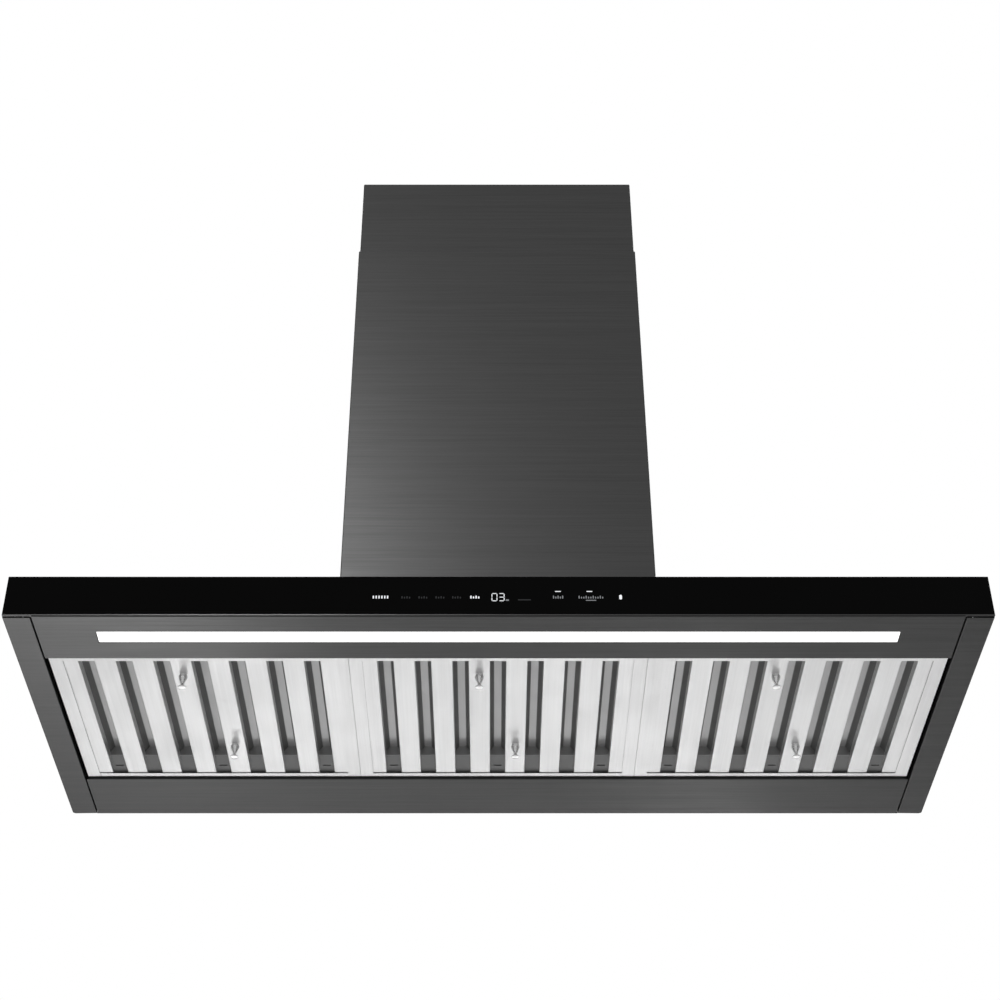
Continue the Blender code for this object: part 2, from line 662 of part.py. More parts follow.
def build_blower(materials, hood):
    steel = materials["galvanised"]
    bx, by = BLOWER_BOX_HALF
    wall = COVER_SHEET
    shell = block("box", (-bx, -by, DECK + GAP), (bx, by, BLOWER_BOX_TOP))
    inside = block("inside", (-bx + wall, -by + wall, DECK - OVERRUN),
                   (bx - wall, by - wall, BLOWER_BOX_TOP - wall))
    outlet = rod("outlet", OUTLET_RADIUS, "Z", BLOWER_BOX_TOP - OVERRUN,
                 BLOWER_BOX_TOP + OVERRUN, (0, 0, 0), 32)
    add_piece("blower_box", cut(shell, inside, outlet), steel, hood)

    half = SCROLL_HALF_WIDTH
    top = BLOWER_BOX_TOP - wall - GAP
    body = prism("scroll", scroll_outline(wall, top), "X", -half, half)
    hollow = prism("hollow", scroll_outline(0.0, top + OVERRUN), "X", -half + wall, half - wall)
    fan = (0, FAN_CENTRE_Y, FAN_CENTRE_Z)
    inlets = rod("inlets", INLET_RADIUS, "X", -half - OVERRUN, half + OVERRUN, fan, 32)
    add_piece("scroll_housing", cut(body, hollow, inlets), steel, hood)

    start, end = MOTOR_SPAN
    near, far = MOTOR_SHOULDERS
    profile = [(0.0, start), (MOTOR_END_RADIUS, start), (MOTOR_RADIUS, near),
               (MOTOR_RADIUS, far), (MOTOR_END_RADIUS, end), (0.0, end)]
    motor = turned("motor", profile, "X", fan, 32)
    bearing = rod("bearing", SHAFT_RADIUS + GAP, "X", 0.0, MOTOR_BORE_DEPTH, fan, 20)
    add_piece("motor", cut(motor, bearing), materials["motor"], hood)

    near, far = half + GAP, half + GAP + BRACKET_THICKNESS
    ring = pipe("ring", MOTOR_RADIUS + GAP, MOTOR_RADIUS + BRACKET_RING, "X", near, far, fan, 32)
    foot, tip = BRACKET_ARM
    width = BRACKET_ARM_HALF
    arms = []
    for degrees in BRACKET_ARM_ANGLES:
        cos, sin = math.cos(math.radians(degrees)), math.sin(math.radians(degrees))
        outline = []
        for along, across in ((foot, -width), (tip, -width), (tip, width), (foot, width)):
            outline.append((FAN_CENTRE_Y + along * cos - across * sin,
                            FAN_CENTRE_Z + along * sin + across * cos))
        arms.append(prism("arm", outline, "X", near + BRACKET_ARM_INSET, far - BRACKET_ARM_INSET))
    add_piece("motor_bracket", joined(ring, *arms), steel, hood)

    foot, head = CAPACITOR_SPAN
    profile = [(0.0, foot), (CAPACITOR_RADIUS, foot), (CAPACITOR_RADIUS, head - CAPACITOR_CHAMFER),
               (CAPACITOR_CAP_RADIUS, head), (0.0, head)]
    capacitor = turned("capacitor", profile, "Z", CAPACITOR_PLACE, 20)
    add_piece("capacitor", capacitor, materials["black_plastic"], hood)

    pivot = add_pivot("impeller_pivot", fan, hood)
    add_piece("impeller", impeller_mesh(), steel, pivot)
    shaft = rod("shaft", SHAFT_RADIUS, "X", *SHAFT_SPAN, (0, 0, 0), 20)
    add_piece("motor_shaft", shaft, materials["chrome"], pivot)


def build_damper(materials, hood):
    """Duct collar with a pair of gravity flaps that air pushes open upwards."""
    steel = materials["galvanised"]
    base = BLOWER_BOX_TOP + GAP
    inner = DUCT_RADIUS - COVER_SHEET
    flange_top = base + COVER_SHEET
    profile = [(inner, base), (COLLAR_FLANGE_RADIUS, base), (COLLAR_FLANGE_RADIUS, flange_top),
               (DUCT_RADIUS, flange_top), (DUCT_RADIUS, COLLAR_TOP), (inner, COLLAR_TOP)]
    collar = turned("collar", profile, "Z", (0, 0, 0), 48, closed=True)
    reach = DUCT_RADIUS + OVERRUN
    pegs = [rod("peg_hole", DAMPER_PEG_RADIUS, "X", -reach, reach, (0, y, DAMPER_Z), 12)
            for y in (-DAMPER_HINGE_Y, DAMPER_HINGE_Y)]
    add_piece("duct_collar", cut(collar, *pegs), steel, hood)

    x, y = DAMPER_BAR_HALF
    low, high = DAMPER_BAR_DROP
    bar = block("bar", (-x, -y, DAMPER_Z - low), (x, y, DAMPER_Z - high))
    add_piece("damper_bar", bar, steel, hood)

    for side, sign in (("front", -1), ("rear", 1)):
        pivot = add_pivot(f"damper_pivot_{side}", (0, sign * DAMPER_HINGE_Y, DAMPER_Z), hood)
        start = math.asin((DAMPER_HINGE_Y + DAMPER_HINGE_CLEARANCE) / DAMPER_RADIUS)
        outline = []
        for step in range(DAMPER_STEPS + 1):
            angle = start + (math.pi - 2 * start) * step / DAMPER_STEPS
            outline.append((DAMPER_RADIUS * math.cos(angle),
                            sign * (DAMPER_RADIUS * math.sin(angle) - DAMPER_HINGE_Y)))
        leaf = prism("leaf", outline, "Z", -DAMPER_HALF_SHEET, DAMPER_HALF_SHEET)
        pin = rod("pin", DAMPER_PIN_RADIUS, "X", -DAMPER_PIN_HALF, DAMPER_PIN_HALF, (0, 0, 0), 12)
        add_piece(f"damper_flap_{side}", joined(leaf, pin), steel, pivot)


def filter_centres():
    return {"left": -FILTER_PITCH, "center": 0.0, "right": FILTER_PITCH}


def filter_frame_mesh():
    """Channel-section rim: four walls with bottom and top flanges turned inwards."""
    x, y0, y1, z0, z1 = FILTER_HALF, FILTER_Y0, FILTER_Y1, FILTER_Z0, FILTER_Z1
    rim = rectangle((-x, y0), (x, y1))
    bottom_hole = rectangle((-x + SIDE_FLANGE, y0 + END_FLANGE),
                            (x - SIDE_FLANGE, y1 - END_FLANGE))
    top_hole = rectangle((-x + TOP_FLANGE, y0 + TOP_FLANGE), (x - TOP_FLANGE, y1 - TOP_FLANGE))
    corners = [(px, py, z0) for px, py in bottom_hole]
    corners += [(px, py, z0) for px, py in rim]
    corners += [(px, py, z1) for px, py in rim]
    corners += [(px, py, z1) for px, py in top_hole]
    faces = []
    for ring in range(3):
        for i in range(4):
            j = (i + 1) % 4
            faces.append((4 * ring + i, 4 * ring + j, 4 * ring + 4 + j, 4 * ring + 4 + i))
    frame = folded("filter_frame", corners, faces, PANEL_SHEET)
    tabs = []
    for middle in (-TAB_OFFSET, TAB_OFFSET):
        tabs.append(block("tab", (middle - TAB_WIDTH / 2, y1 - TAB_ROOT, -TAB_HALF_THICKNESS),
                          (middle + TAB_WIDTH / 2, TAB_TIP, TAB_HALF_THICKNESS)))
    frame = joined(frame, *tabs)
    room_x, room_z = BOLT_ROOM
    half = BOLT_HALF_WIDTH + room_x
    bolt_hole = block("bolt_hole", (LATCH_X - half, y0 - OVERRUN, BOLT_Z - room_z),
                      (LATCH_X + half, y0 + WALL_REACH, BOLT_Z + BOLT_THICKNESS + room_z))
    low, high = DRAIN_LEVELS
    drains = []
    for slot in DRAIN_SLOTS:
        x = slot * SLOT_PITCH
        drains.append(block("drain", (x - DRAIN_HALF_WIDTH, y1 - WALL_REACH, z0 + low),
                            (x + DRAIN_HALF_WIDTH, y1 + WALL_REACH, z0 + high)))
    return cut(frame, bolt_hole, *drains)


def lower_baffles_mesh():
    """Eight channels along Y with upturned sides, joined across their two ends."""
    y0, y1 = FILTER_Y0 + BAFFLE_END_GAP, FILTER_Y1 - BAFFLE_END_GAP
    slot_y0, slot_y1 = y0 + STRIP_DEPTH, y1 - STRIP_DEPTH
    edge = FILTER_HALF - BAFFLE_END_GAP
    stops = [-edge]
    for slot in range(SLOT_COUNT):
        centre = (slot - (SLOT_COUNT - 1) / 2) * SLOT_PITCH
        stops += [centre - SLOT_WIDTH / 2, centre + SLOT_WIDTH / 2]
    stops.append(edge)
    rows = (y0, slot_y0, slot_y1, y1)
    corners = [(x, y, BAR_Z) for y in rows for x in stops]
    width = len(stops)
    faces = []
    for column in range(width - 1):
        is_bar = column % 2 == 0
        for row in range(3):
            if is_bar or row != 1:
                a = row * width + column
                faces.append((a, a + width, a + width + 1, a + 1))
    for column in range(1, width - 1):
        a, b = width + column, 2 * width + column
        top = len(corners)
        corners += [(stops[column], y, BAR_Z + BAR_FLANGE) for y in (slot_y0, slot_y1)]
        faces.append((a, b, top + 1, top) if column % 2 else (a, top, top + 1, b))
    panel = folded("lower_baffles", corners, faces, PANEL_SHEET)
    half = KNOB_SLOT_HALF
    knob_slot = block("knob_slot", (LATCH_X - half, LATCH_Y - half, BAR_Z - OVERRUN),
                      (LATCH_X + half, LATCH_Y + LATCH_TRAVEL + half, BAR_Z + OVERRUN))
    stop_y = LATCH_Y + BOLT_TAIL + SPRING_LENGTH + 2 * GAP
    half, depth, height = STOP_SIZE
    stop = block("spring_stop", (LATCH_X - half, stop_y, BAR_Z + STOP_ROOT),
                 (LATCH_X + half, stop_y + depth, BAR_Z + height))
    return joined(cut(panel, knob_slot), stop)


def upper_baffles_mesh():
    """Seven inverted channels above the slots, tied together at their ends."""
    y0, y1 = FILTER_Y0 + BAFFLE_END_GAP, FILTER_Y1 - BAFFLE_END_GAP
    tie_y0, tie_y1 = y0 + STRIP_DEPTH, y1 - STRIP_DEPTH
    web_z = FILTER_Z1 - PANEL_SHEET - GAP
    foot_z = BAR_Z + PANEL_SHEET + BAFFLE_CLEARANCE
    edge = FILTER_HALF - BAFFLE_END_GAP
    stops = [-edge]
    for slot in range(SLOT_COUNT):
        centre = (slot - (SLOT_COUNT - 1) / 2) * SLOT_PITCH
        stops += [centre - WEB_HALF, centre + WEB_HALF]
    stops.append(edge)
    rows = (y0, tie_y0, tie_y1, y1)
    corners = [(x, y, web_z) for y in rows for x in stops]
    width = len(stops)
    faces = []
    for column in range(width - 1):
        is_web = column % 2 == 1
        for row in range(3):
            if is_web or row != 1:
                a = row * width + column
                faces.append((a, a + 1, a + width + 1, a + width))
    for column in range(1, width - 1):
        a, b = width + column, 2 * width + column
        out = FOOT_HALF - WEB_HALF
        x = stops[column] + (-out if column % 2 else out)
        foot = len(corners)
        corners += [(x, tie_y0, foot_z), (x, tie_y1, foot_z)]
        faces.append((a, b, foot + 1, foot) if column % 2 else (a, foot, foot + 1, b))
    return folded("upper_baffles", corners, faces, PANEL_SHEET)


def knob_mesh(name, stem_top):
    """Turned pull knob hanging from the baffle: collar, waist and a flared head."""
    base = BAR_Z - GAP
    profile = [(0.0, stem_top), (STEM_RADIUS, stem_top), (STEM_RADIUS, base)]
    if stem_top <= base:
        profile = [(0.0, base)]
    profile += [(radius, base - drop) for radius, drop in KNOB_PROFILE]
    return turned(name, profile, "Z", (0, 0, 0), 14)


def spring_mesh():
    """Compression spring along Y: one wire tube wound on a helix, ends capped."""
    wire, sides = SPRING_WIRE, SPRING_SIDES
    count = SPRING_TURNS * SPRING_STEPS
    corners, faces = [], []
    for step in range(count + 1):
        angle = math.tau * step / SPRING_STEPS
        out = Vector((math.cos(angle), 0.0, math.sin(angle)))
        along = wire + (SPRING_LENGTH - 2 * wire) * step / count
        centre = out * SPRING_COIL + Vector((0.0, along, 0.0))
        for side in range(sides):
            turn = math.tau * side / sides
            corners.append(centre + out * (wire * math.cos(turn))
                           + Vector((0.0, wire * math.sin(turn), 0.0)))
    for step in range(count):
        for side in range(sides):
            a, b = step * sides + side, step * sides + (side + 1) % sides
            faces.append((a, b, b + sides, a + sides))
    faces.append(tuple(range(sides)))
    faces.append(tuple(count * sides + side for side in range(sides)))
    mesh = bpy.data.meshes.new("latch_spring")
    mesh.from_pydata(corners, [], faces)
    shape = bmesh.new()
    shape.from_mesh(mesh)
    return mesh_from(shape, "latch_spring")


def build_filters(materials, hood):
    steel = materials["bright_steel"]
    frame = filter_frame_mesh()
    lower = lower_baffles_mesh()
    upper = upper_baffles_mesh()
    grip = knob_mesh("grip_knob", -1.0)
    knob = knob_mesh("latch_knob", BOLT_Z - GAP)
    bolt_front = FRONT + FRONT_PANEL_END + NOSE_GAP - FILTER_HINGE_Y
    bolt = block("latch_bolt", (LATCH_X - BOLT_HALF_WIDTH, bolt_front, BOLT_Z),
                 (LATCH_X + BOLT_HALF_WIDTH, LATCH_Y + BOLT_TAIL, BOLT_Z + BOLT_THICKNESS))
    spring = spring_mesh()
    for side, centre in filter_centres().items():
        pivot = add_pivot(f"filter_pivot_{side}", (centre, FILTER_HINGE_Y, FILTER_HINGE_Z), hood)
        add_piece(f"filter_frame_{side}", frame, steel, pivot)
        add_piece(f"lower_baffles_{side}", lower, steel, pivot)
        add_piece(f"upper_baffles_{side}", upper, steel, pivot)
        add_piece(f"grip_knob_{side}", grip, materials["chrome"], pivot, (GRIP_X, GRIP_Y, 0.0))
        add_piece(f"latch_bolt_{side}", bolt, materials["spring"], pivot)
        add_piece(f"latch_knob_{side}", knob, materials["chrome"], pivot, (LATCH_X, LATCH_Y, 0.0))
        add_piece(f"latch_spring_{side}", spring, materials["spring"], pivot,
                  (LATCH_X, LATCH_Y + BOLT_TAIL + GAP, BOLT_Z + SPRING_LIFT))


def main():
    clear_scene()
    materials = make_materials()
    build_ceiling_mount(materials)
    hood = add_pivot("hood_slide", (0.0, 0.0, 0.0))
    build_lower_chimney(materials, hood)
    build_canopy(materials, hood)
    build_front(materials, hood)
    build_lamp(materials, hood)
    build_blower(materials, hood)
    build_damper(materials, hood)
    build_filters(materials, hood)
    bpy.context.view_layer.update()


main()
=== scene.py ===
"""Looks of an island range hood: sheet-metal skins, glass fascia, baffle filters and blower."""
import math

import bmesh
import bpy
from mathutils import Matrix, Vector


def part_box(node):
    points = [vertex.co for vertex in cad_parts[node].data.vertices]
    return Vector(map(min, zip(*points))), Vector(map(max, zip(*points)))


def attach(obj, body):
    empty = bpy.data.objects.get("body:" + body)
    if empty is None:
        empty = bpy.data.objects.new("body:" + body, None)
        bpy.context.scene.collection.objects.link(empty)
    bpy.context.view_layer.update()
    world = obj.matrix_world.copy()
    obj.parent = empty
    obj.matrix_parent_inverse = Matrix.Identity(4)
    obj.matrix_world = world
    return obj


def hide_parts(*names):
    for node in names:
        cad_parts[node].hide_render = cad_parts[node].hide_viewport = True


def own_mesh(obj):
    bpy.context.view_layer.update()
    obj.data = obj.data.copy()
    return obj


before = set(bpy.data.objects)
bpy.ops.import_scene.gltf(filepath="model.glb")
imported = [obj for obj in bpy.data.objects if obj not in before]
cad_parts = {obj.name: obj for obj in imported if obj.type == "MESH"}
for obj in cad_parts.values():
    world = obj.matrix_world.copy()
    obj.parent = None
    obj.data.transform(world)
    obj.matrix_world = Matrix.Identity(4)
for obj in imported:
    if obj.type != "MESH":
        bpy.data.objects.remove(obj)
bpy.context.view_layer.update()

# Sheet thickness, bend radii and edge breaks, in metres.
PANEL_SHEET = 0.0008
COVER_SHEET = 0.0012
STRIP_SHEET = 0.0010
CLOSURE_SHEET = 0.0006
SHADE_STRIP_SHEET = 0.0008
COVER_BEND = 0.0017
COVER_TOP_ROUND = 0.0009
PANEL_BEND = 0.0011
BAR_BEND = 0.0013
EDGE_BREAK = 0.00018
FINE_EDGE = 0.00015
SKIN_EDGE = 0.0002
FORMED_EDGE = 0.0003
SEAM_GAP = 0.0006
FIT_GAP = 0.0003

# Canopy details.
RAIL_CORNER = 0.005
RAIL_LIP = 0.012
RAIL_END_WALL = 0.004
PANEL_SIDE_LIP = 0.006
LAMP_FOLD = 0.0022
GLASS_ARRIS = 0.0005
MARK_PROUD = 0.0001
MARK_FOOT, MARK_LINE, MARK_DASH = 0.0226, 0.0247, 0.0332

# Filters: slots, the channels over them and the trays at their rear ends.
SLOT_PITCH = 0.0478
SLOT_WIDTH = 0.0202
SLOT_COUNT = 7
DRAIN_EVERY = 3
BAR_FLANGE = 0.012
SIDE_FLANGE = 0.017
END_FLANGE = 0.0082
RIM_GROWTH = 0.0002
RIM_REAR_GAP = 0.0012
HOOD_WEB_HALF = 0.0054
HOOD_FOOT_HALF = 0.0165
CLOSURE_DEPTH = 0.040
CLOSURE_DROP = 0.0075

# Hinge tabs on a filter's rear, and the slots that take them.
TAB_OFFSETS = (-0.120, 0.120)
TAB_HALF = 0.010
TAB_SLOT_HALF = 0.012
TAB_LEVELS = (0.0036, 0.0048)
TAB_SLOT_LEVELS = (0.0062, 0.0110)

# Latches.
LATCH_TRAVEL = 0.008
STEM_HOLE = 0.0031
WIRE_RADIUS = 0.0003
COIL_RADIUS = 0.0016
COIL_TURNS = 7

# Fixings.
SCREW_RADIUS = 0.0032
DECK_SCREW_RADIUS = 0.0034
RIVET_RADIUS = 0.0022
SPIGOT_RING = 0.1064
SPIGOT_FLANGE = 0.0012
DECK_SCREW_X = (0.30, 0.56)
DECK_SCREW_Y = 0.225
SLEEVE_SCREW_Y = 0.100
RIVET_HALF_GAP = 0.0070
RIVET_PITCH = 0.045

NEAR = 2e-5
SAME_POINT = 1e-6
FLOOR_LEVEL = -2.9
SIDES = ("left", "center", "right")
POST_PLACES = ("front_left", "front_right", "rear_left", "rear_right")


# ---- modelling tools

def put_down():
    """Leave edit mode and drop every selection."""
    active = bpy.context.view_layer.objects.active
    if active is not None and active.mode != "OBJECT":
        bpy.ops.object.mode_set(mode="OBJECT")
    bpy.ops.object.select_all(action="DESELECT")


def take(piece):
    """Make one piece the only selected and the active one."""
    put_down()
    piece.select_set(True)
    bpy.context.view_layer.objects.active = piece
    return piece


def settle(name):
    """Name the new primitive and put its place into its mesh."""
    piece = bpy.context.object
    piece.name = name
    bpy.ops.object.transform_apply(location=True, rotation=True, scale=True)
    return piece


def start_box(name, low, high):
    put_down()
    low, high = Vector(low), Vector(high)
    bpy.ops.mesh.primitive_cube_add(size=1.0, location=(low + high) / 2, scale=high - low)
    return settle(name)


def start_pan(name, low, high):
    """The flat foot of a box, facing down."""
    piece = start_box(name, low, high)
    remove_faces(piece, lambda face: face.normal.z > -0.5)
    return piece


def lies(x=None, y=None, z=None, along=None):
    """A test that passes what has every corner at the given places; a pair means between."""
    wanted = [(axis, value) for axis, value in enumerate((x, y, z)) if value is not None]

    def test(item):
        points = [item.co] if isinstance(item, bmesh.types.BMVert) else [v.co for v in item.verts]
        for axis, value in wanted:
            low, high = value if isinstance(value, tuple) else (value, value)
            if any(p[axis] < low - NEAR or p[axis] > high + NEAR for p in points):
                return False
        if along is not None:
            step = (points[1] - points[0]).normalized()
            return abs(step["XYZ".index(along)]) > 0.99
        return True
    return test


def middle_of(item):
    return sum((corner.co for corner in item.verts), Vector()) / len(item.verts)


def either(*tests):
    return lambda item: any(test(item) for test in tests)


def open_all(piece, kind="FACE"):
    take(piece)
    bpy.ops.object.mode_set(mode="EDIT")
    bpy.ops.mesh.select_mode(type=kind)
    bpy.ops.mesh.select_all(action="SELECT")


def choose(piece, kind, test):
    """Open a piece with only the faces, edges or corners selected that pass the test."""
    open_all(piece, kind)
    bpy.ops.mesh.select_all(action="DESELECT")
    shape = bmesh.from_edit_mesh(piece.data)
    for item in {"FACE": shape.faces, "EDGE": shape.edges, "VERT": shape.verts}[kind]:
        if test(item):
            item.select_set(True)
    shape.select_flush_mode()
    bmesh.update_edit_mesh(piece.data)


def remove_faces(piece, test):
    choose(piece, "FACE", test)
    bpy.ops.mesh.delete(type="FACE")
    put_down()


def score(piece, axis, *places, test=None):
    """Cut the faces that pass the test along planes across an axis."""
    normal = Vector([float(name == axis) for name in "XYZ"])
    for place in places:
        choose(piece, "FACE", test or (lambda face: True))
        bpy.ops.mesh.bisect(plane_co=normal * place, plane_no=normal)
        put_down()


def pull(piece, test, step):
    """Extrude the edges that pass the test."""
    choose(piece, "EDGE", test)
    bpy.ops.mesh.extrude_region_move(TRANSFORM_OT_translate={"value": step})
    put_down()


def bend(piece, test, radius, segments=4):
    """Round the edges that pass the test, as a press brake leaves them."""
    choose(piece, "EDGE", test)
    bpy.ops.mesh.bevel(offset=radius, segments=segments, affect="EDGES")
    put_down()


def apply(piece, kind, **settings):
    """Add a modifier with the given settings and apply it."""
    take(piece)
    step = piece.modifiers.new(kind, kind)
    for name, value in settings.items():
        setattr(step, name, value)
    bpy.ops.object.modifier_apply(modifier=step.name)
    return piece


def thicken(piece, sheet, side=-1.0):
    apply(piece, "SOLIDIFY", thickness=sheet, offset=side, use_even_offset=True,
          use_quality_normals=True)


def break_edges(piece, width=EDGE_BREAK, segments=2, angle=50):
    """Take the sharpness off every hard edge."""
    apply(piece, "BEVEL", width=width, segments=segments, limit_method="ANGLE",
          angle_limit=math.radians(angle), use_clamp_overlap=True)


def shade(piece, angle=35):
    take(piece)
    bpy.ops.object.shade_smooth_by_angle(angle=math.radians(angle))
    apply(piece, "WEIGHTED_NORMAL", weight=100, keep_sharp=True)


def outward(piece):
    open_all(piece)
    bpy.ops.mesh.remove_doubles(threshold=SAME_POINT)
    bpy.ops.mesh.normals_make_consistent(inside=False)
    put_down()


def cut(piece, *tools):
    """Boolean the tools out of a piece and throw them away."""
    for tool in tools:
        apply(piece, "BOOLEAN", operation="DIFFERENCE", solver="EXACT", object=tool)
        bpy.data.objects.remove(tool, do_unlink=True)


def copy_of(piece, name, step):
    """A copy with its own mesh, moved by a step."""
    take(piece)
    bpy.ops.object.duplicate(linked=False)
    twin = bpy.context.object
    twin.name = name
    twin.location = step
    bpy.ops.object.transform_apply(location=True, rotation=False, scale=False)
    return twin


def join(name, *pieces):
    take(pieces[0])
    for piece in pieces[1:]:
        piece.select_set(True)
    bpy.ops.object.join()
    bpy.context.object.name = name
    return bpy.context.object


def refined(node, name, width, segments):
    """A merged copy of a CAD node with its flat faces made whole and its edges broken."""
    piece = bpy.data.objects.new(name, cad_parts[node].data.copy())
    bpy.context.scene.collection.objects.link(piece)
    open_all(piece)
    bpy.ops.mesh.customdata_custom_splitnormals_clear()
    bpy.ops.mesh.remove_doubles(threshold=SAME_POINT)
    bpy.ops.mesh.dissolve_limited(angle_limit=math.radians(0.5))
    put_down()
    break_edges(piece, width, segments)
    shade(piece)
    return piece


def draw_line(name, points):
    """A wire through the points, drawn by pulling its first corner along."""
    put_down()
    bpy.ops.mesh.primitive_plane_add(size=0.001, location=points[0])
    piece = settle(name)
    open_all(piece, "VERT")
    bpy.ops.mesh.merge(type="CENTER")
    for start, end in zip(points, points[1:]):
        step = Vector(end) - Vector(start)
        bpy.ops.mesh.extrude_region_move(TRANSFORM_OT_translate={"value": step})
    return piece


def turn(name, profile, direction, centre, segments=64):
    """Spin a profile of (radius, position) pairs about an axis through the centre."""
    along = "XYZ".index(direction)
    out = (along + 1) % 3
    points = [Vector(centre) for _ in profile]
    for point, (radius, position) in zip(points, profile):
        point[along] += position
        point[out] += radius
    piece = draw_line(name, points)
    bpy.ops.mesh.select_all(action="SELECT")
    axis = [float(i == along) for i in range(3)]
    bpy.ops.mesh.spin(steps=segments, angle=math.tau, center=centre, axis=axis)
    put_down()
    outward(piece)
    return piece


def finish_piece(piece, body, look, *nodes, finish=None):
    """Give a piece its material and body, and hide what it stands for."""
    piece.data.materials.clear()
    piece.data.materials.append(materials[finish or look])
    for face in piece.data.polygons:
        face.material_index = 0
    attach(piece, body)
    if nodes:
        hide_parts(*nodes)
    return piece


def formed(node, name, body, look, width=FORMED_EDGE, segments=2):
    """Stand a refined copy in for a CAD node."""
    finish_piece(refined(node, name, width, segments), body, look, node)


# ---- node groups

def new_group(name, outputs, **inputs):
    """An empty shader node group with float outputs; gives its ends and its place on the piece."""
    group = bpy.data.node_groups.new(name, "ShaderNodeTree")
    for label, value in inputs.items():
        kind = "NodeSocketVector" if isinstance(value, tuple) else "NodeSocketFloat"
        socket = group.interface.new_socket(name=label.replace("_", " "), in_out="INPUT",
                                            socket_type=kind)
        socket.default_value = value
    for label in outputs:
        group.interface.new_socket(name=label, in_out="OUTPUT", socket_type="NodeSocketFloat")
    start = group.nodes.new("NodeGroupInput").outputs
    end = group.nodes.new("NodeGroupOutput").inputs
    return group, start, end, group.nodes.new("ShaderNodeTexCoord").outputs


def feed(tree, value, socket):
    """Set a socket to a number, or link it to another node's output."""
    if isinstance(value, (int, float)):
        socket.default_value = value
    else:
        tree.links.new(value, socket)


def math_node(tree, operation, *values):
    node = tree.nodes.new("ShaderNodeMath")
    node.operation = operation
    for socket, value in zip(node.inputs, values):
        feed(tree, value, socket)
    return node.outputs[0]


def map_range(tree, value, source=(0.0, 1.0), target=(0.0, 1.0), kind="LINEAR"):
    """Carry a value from one range to another."""
    node = tree.nodes.new("ShaderNodeMapRange")
    node.interpolation_type = kind
    for name, number in zip(("From Min", "From Max", "To Min", "To Max"), (*source, *target)):
        node.inputs[name].default_value = number
    tree.links.new(value, node.inputs["Value"])
    return node.outputs["Result"]


def stretched(tree, position, stretch):
    node = tree.nodes.new("ShaderNodeVectorMath")
    node.operation = "MULTIPLY"
    tree.links.new(position, node.inputs[0])
    tree.links.new(stretch, node.inputs[1])
    return node.outputs[0]


def noise(tree, vector, scale, detail=3.0, roughness=0.55, distortion=0.0):
    node = tree.nodes.new("ShaderNodeTexNoise")
    tree.links.new(vector, node.inputs["Vector"])
    for name, value in (("Scale", scale), ("Detail", detail), ("Roughness", roughness),
                        ("Distortion", distortion)):
        feed(tree, value, node.inputs[name])
    return node.outputs["Fac"]


def levelness(tree, place):
    """How squarely a face looks up or down, from 0 to 1."""
    split = tree.nodes.new("ShaderNodeSeparateXYZ")
    tree.links.new(place["Normal"], split.inputs[0])
    return math_node(tree, "ABSOLUTE", split.outputs["Z"])


def brushed_grain_group():
    """Streaks left by a belt: one stretch for level faces, another for upright ones."""
    group, start, end, place = new_group("brushed_grain", ("Streak", "Height"),
                                         Level_Stretch=(14.0, 420.0, 1.0),
                                         Upright_Stretch=(14.0, 14.0, 420.0))
    pick = group.nodes.new("ShaderNodeMix")
    pick.data_type = "VECTOR"
    level = math_node(group, "GREATER_THAN", levelness(group, place), 0.7)
    group.links.new(level, pick.inputs["Factor"])
    sockets = {socket.identifier: socket for socket in [*pick.inputs, *pick.outputs]}
    for label, socket in (("Upright Stretch", "A_Vector"), ("Level Stretch", "B_Vector")):
        group.links.new(stretched(group, place["Object"], start[label]), sockets[socket])
    fine = noise(group, sockets["Result_Vector"], 1.0, 4.0, 0.65)
    broad = noise(group, sockets["Result_Vector"], 0.23, 2.0, 0.5)
    streak = math_node(group, "ADD", math_node(group, "MULTIPLY", fine, 0.65),
                       math_node(group, "MULTIPLY", broad, 0.35))
    group.links.new(map_range(group, streak, (0.36, 0.64)), end["Streak"])
    group.links.new(fine, end["Height"])
    return group


def handling_group():
    """Faint wiped patches, as a mask from 0 to 1."""
    group, start, end, place = new_group("handling_marks", ("Mask",), Size=9.0)
    blur = noise(group, place["Object"], start["Size"], 3.0, 0.5, 0.8)
    group.links.new(map_range(group, blur, (0.42, 0.68)), end["Mask"])
    return group


def spangle_group():
    """Zinc crystals: cells of slightly different tone with thin borders."""
    group, start, end, place = new_group("zinc_spangle", ("Tone", "Height"), Scale=110.0)
    cells = group.nodes.new("ShaderNodeTexVoronoi")
    group.links.new(place["Object"], cells.inputs["Vector"])
    group.links.new(start["Scale"], cells.inputs["Scale"])
    split = group.nodes.new("ShaderNodeSeparateColor")
    group.links.new(cells.outputs["Color"], split.inputs[0])
    group.links.new(split.outputs[0], end["Tone"])
    group.links.new(cells.outputs["Distance"], end["Height"])
    return group


def shade_by_tilt_group():
    """Tells level faces from sloping and upright ones, as the mask for painted shade by a face's
    tilt.
    """
    group, _, end, place = new_group("painted_shade_by_tilt", ("Level",))
    group.links.new(map_range(group, levelness(group, place), (0.70, 0.98)), end["Level"])
    return group


def pebble_group():
    """Fine moulded or cast texture, with a slow cloud of tone."""
    group, start, end, place = new_group("pebble_texture", ("Tone", "Height"), Scale=1400.0)
    group.links.new(noise(group, place["Object"], 25.0), end["Tone"])
    group.links.new(noise(group, place["Object"], start["Scale"], 4.0, 0.5), end["Height"])
    return group


# ---- materials

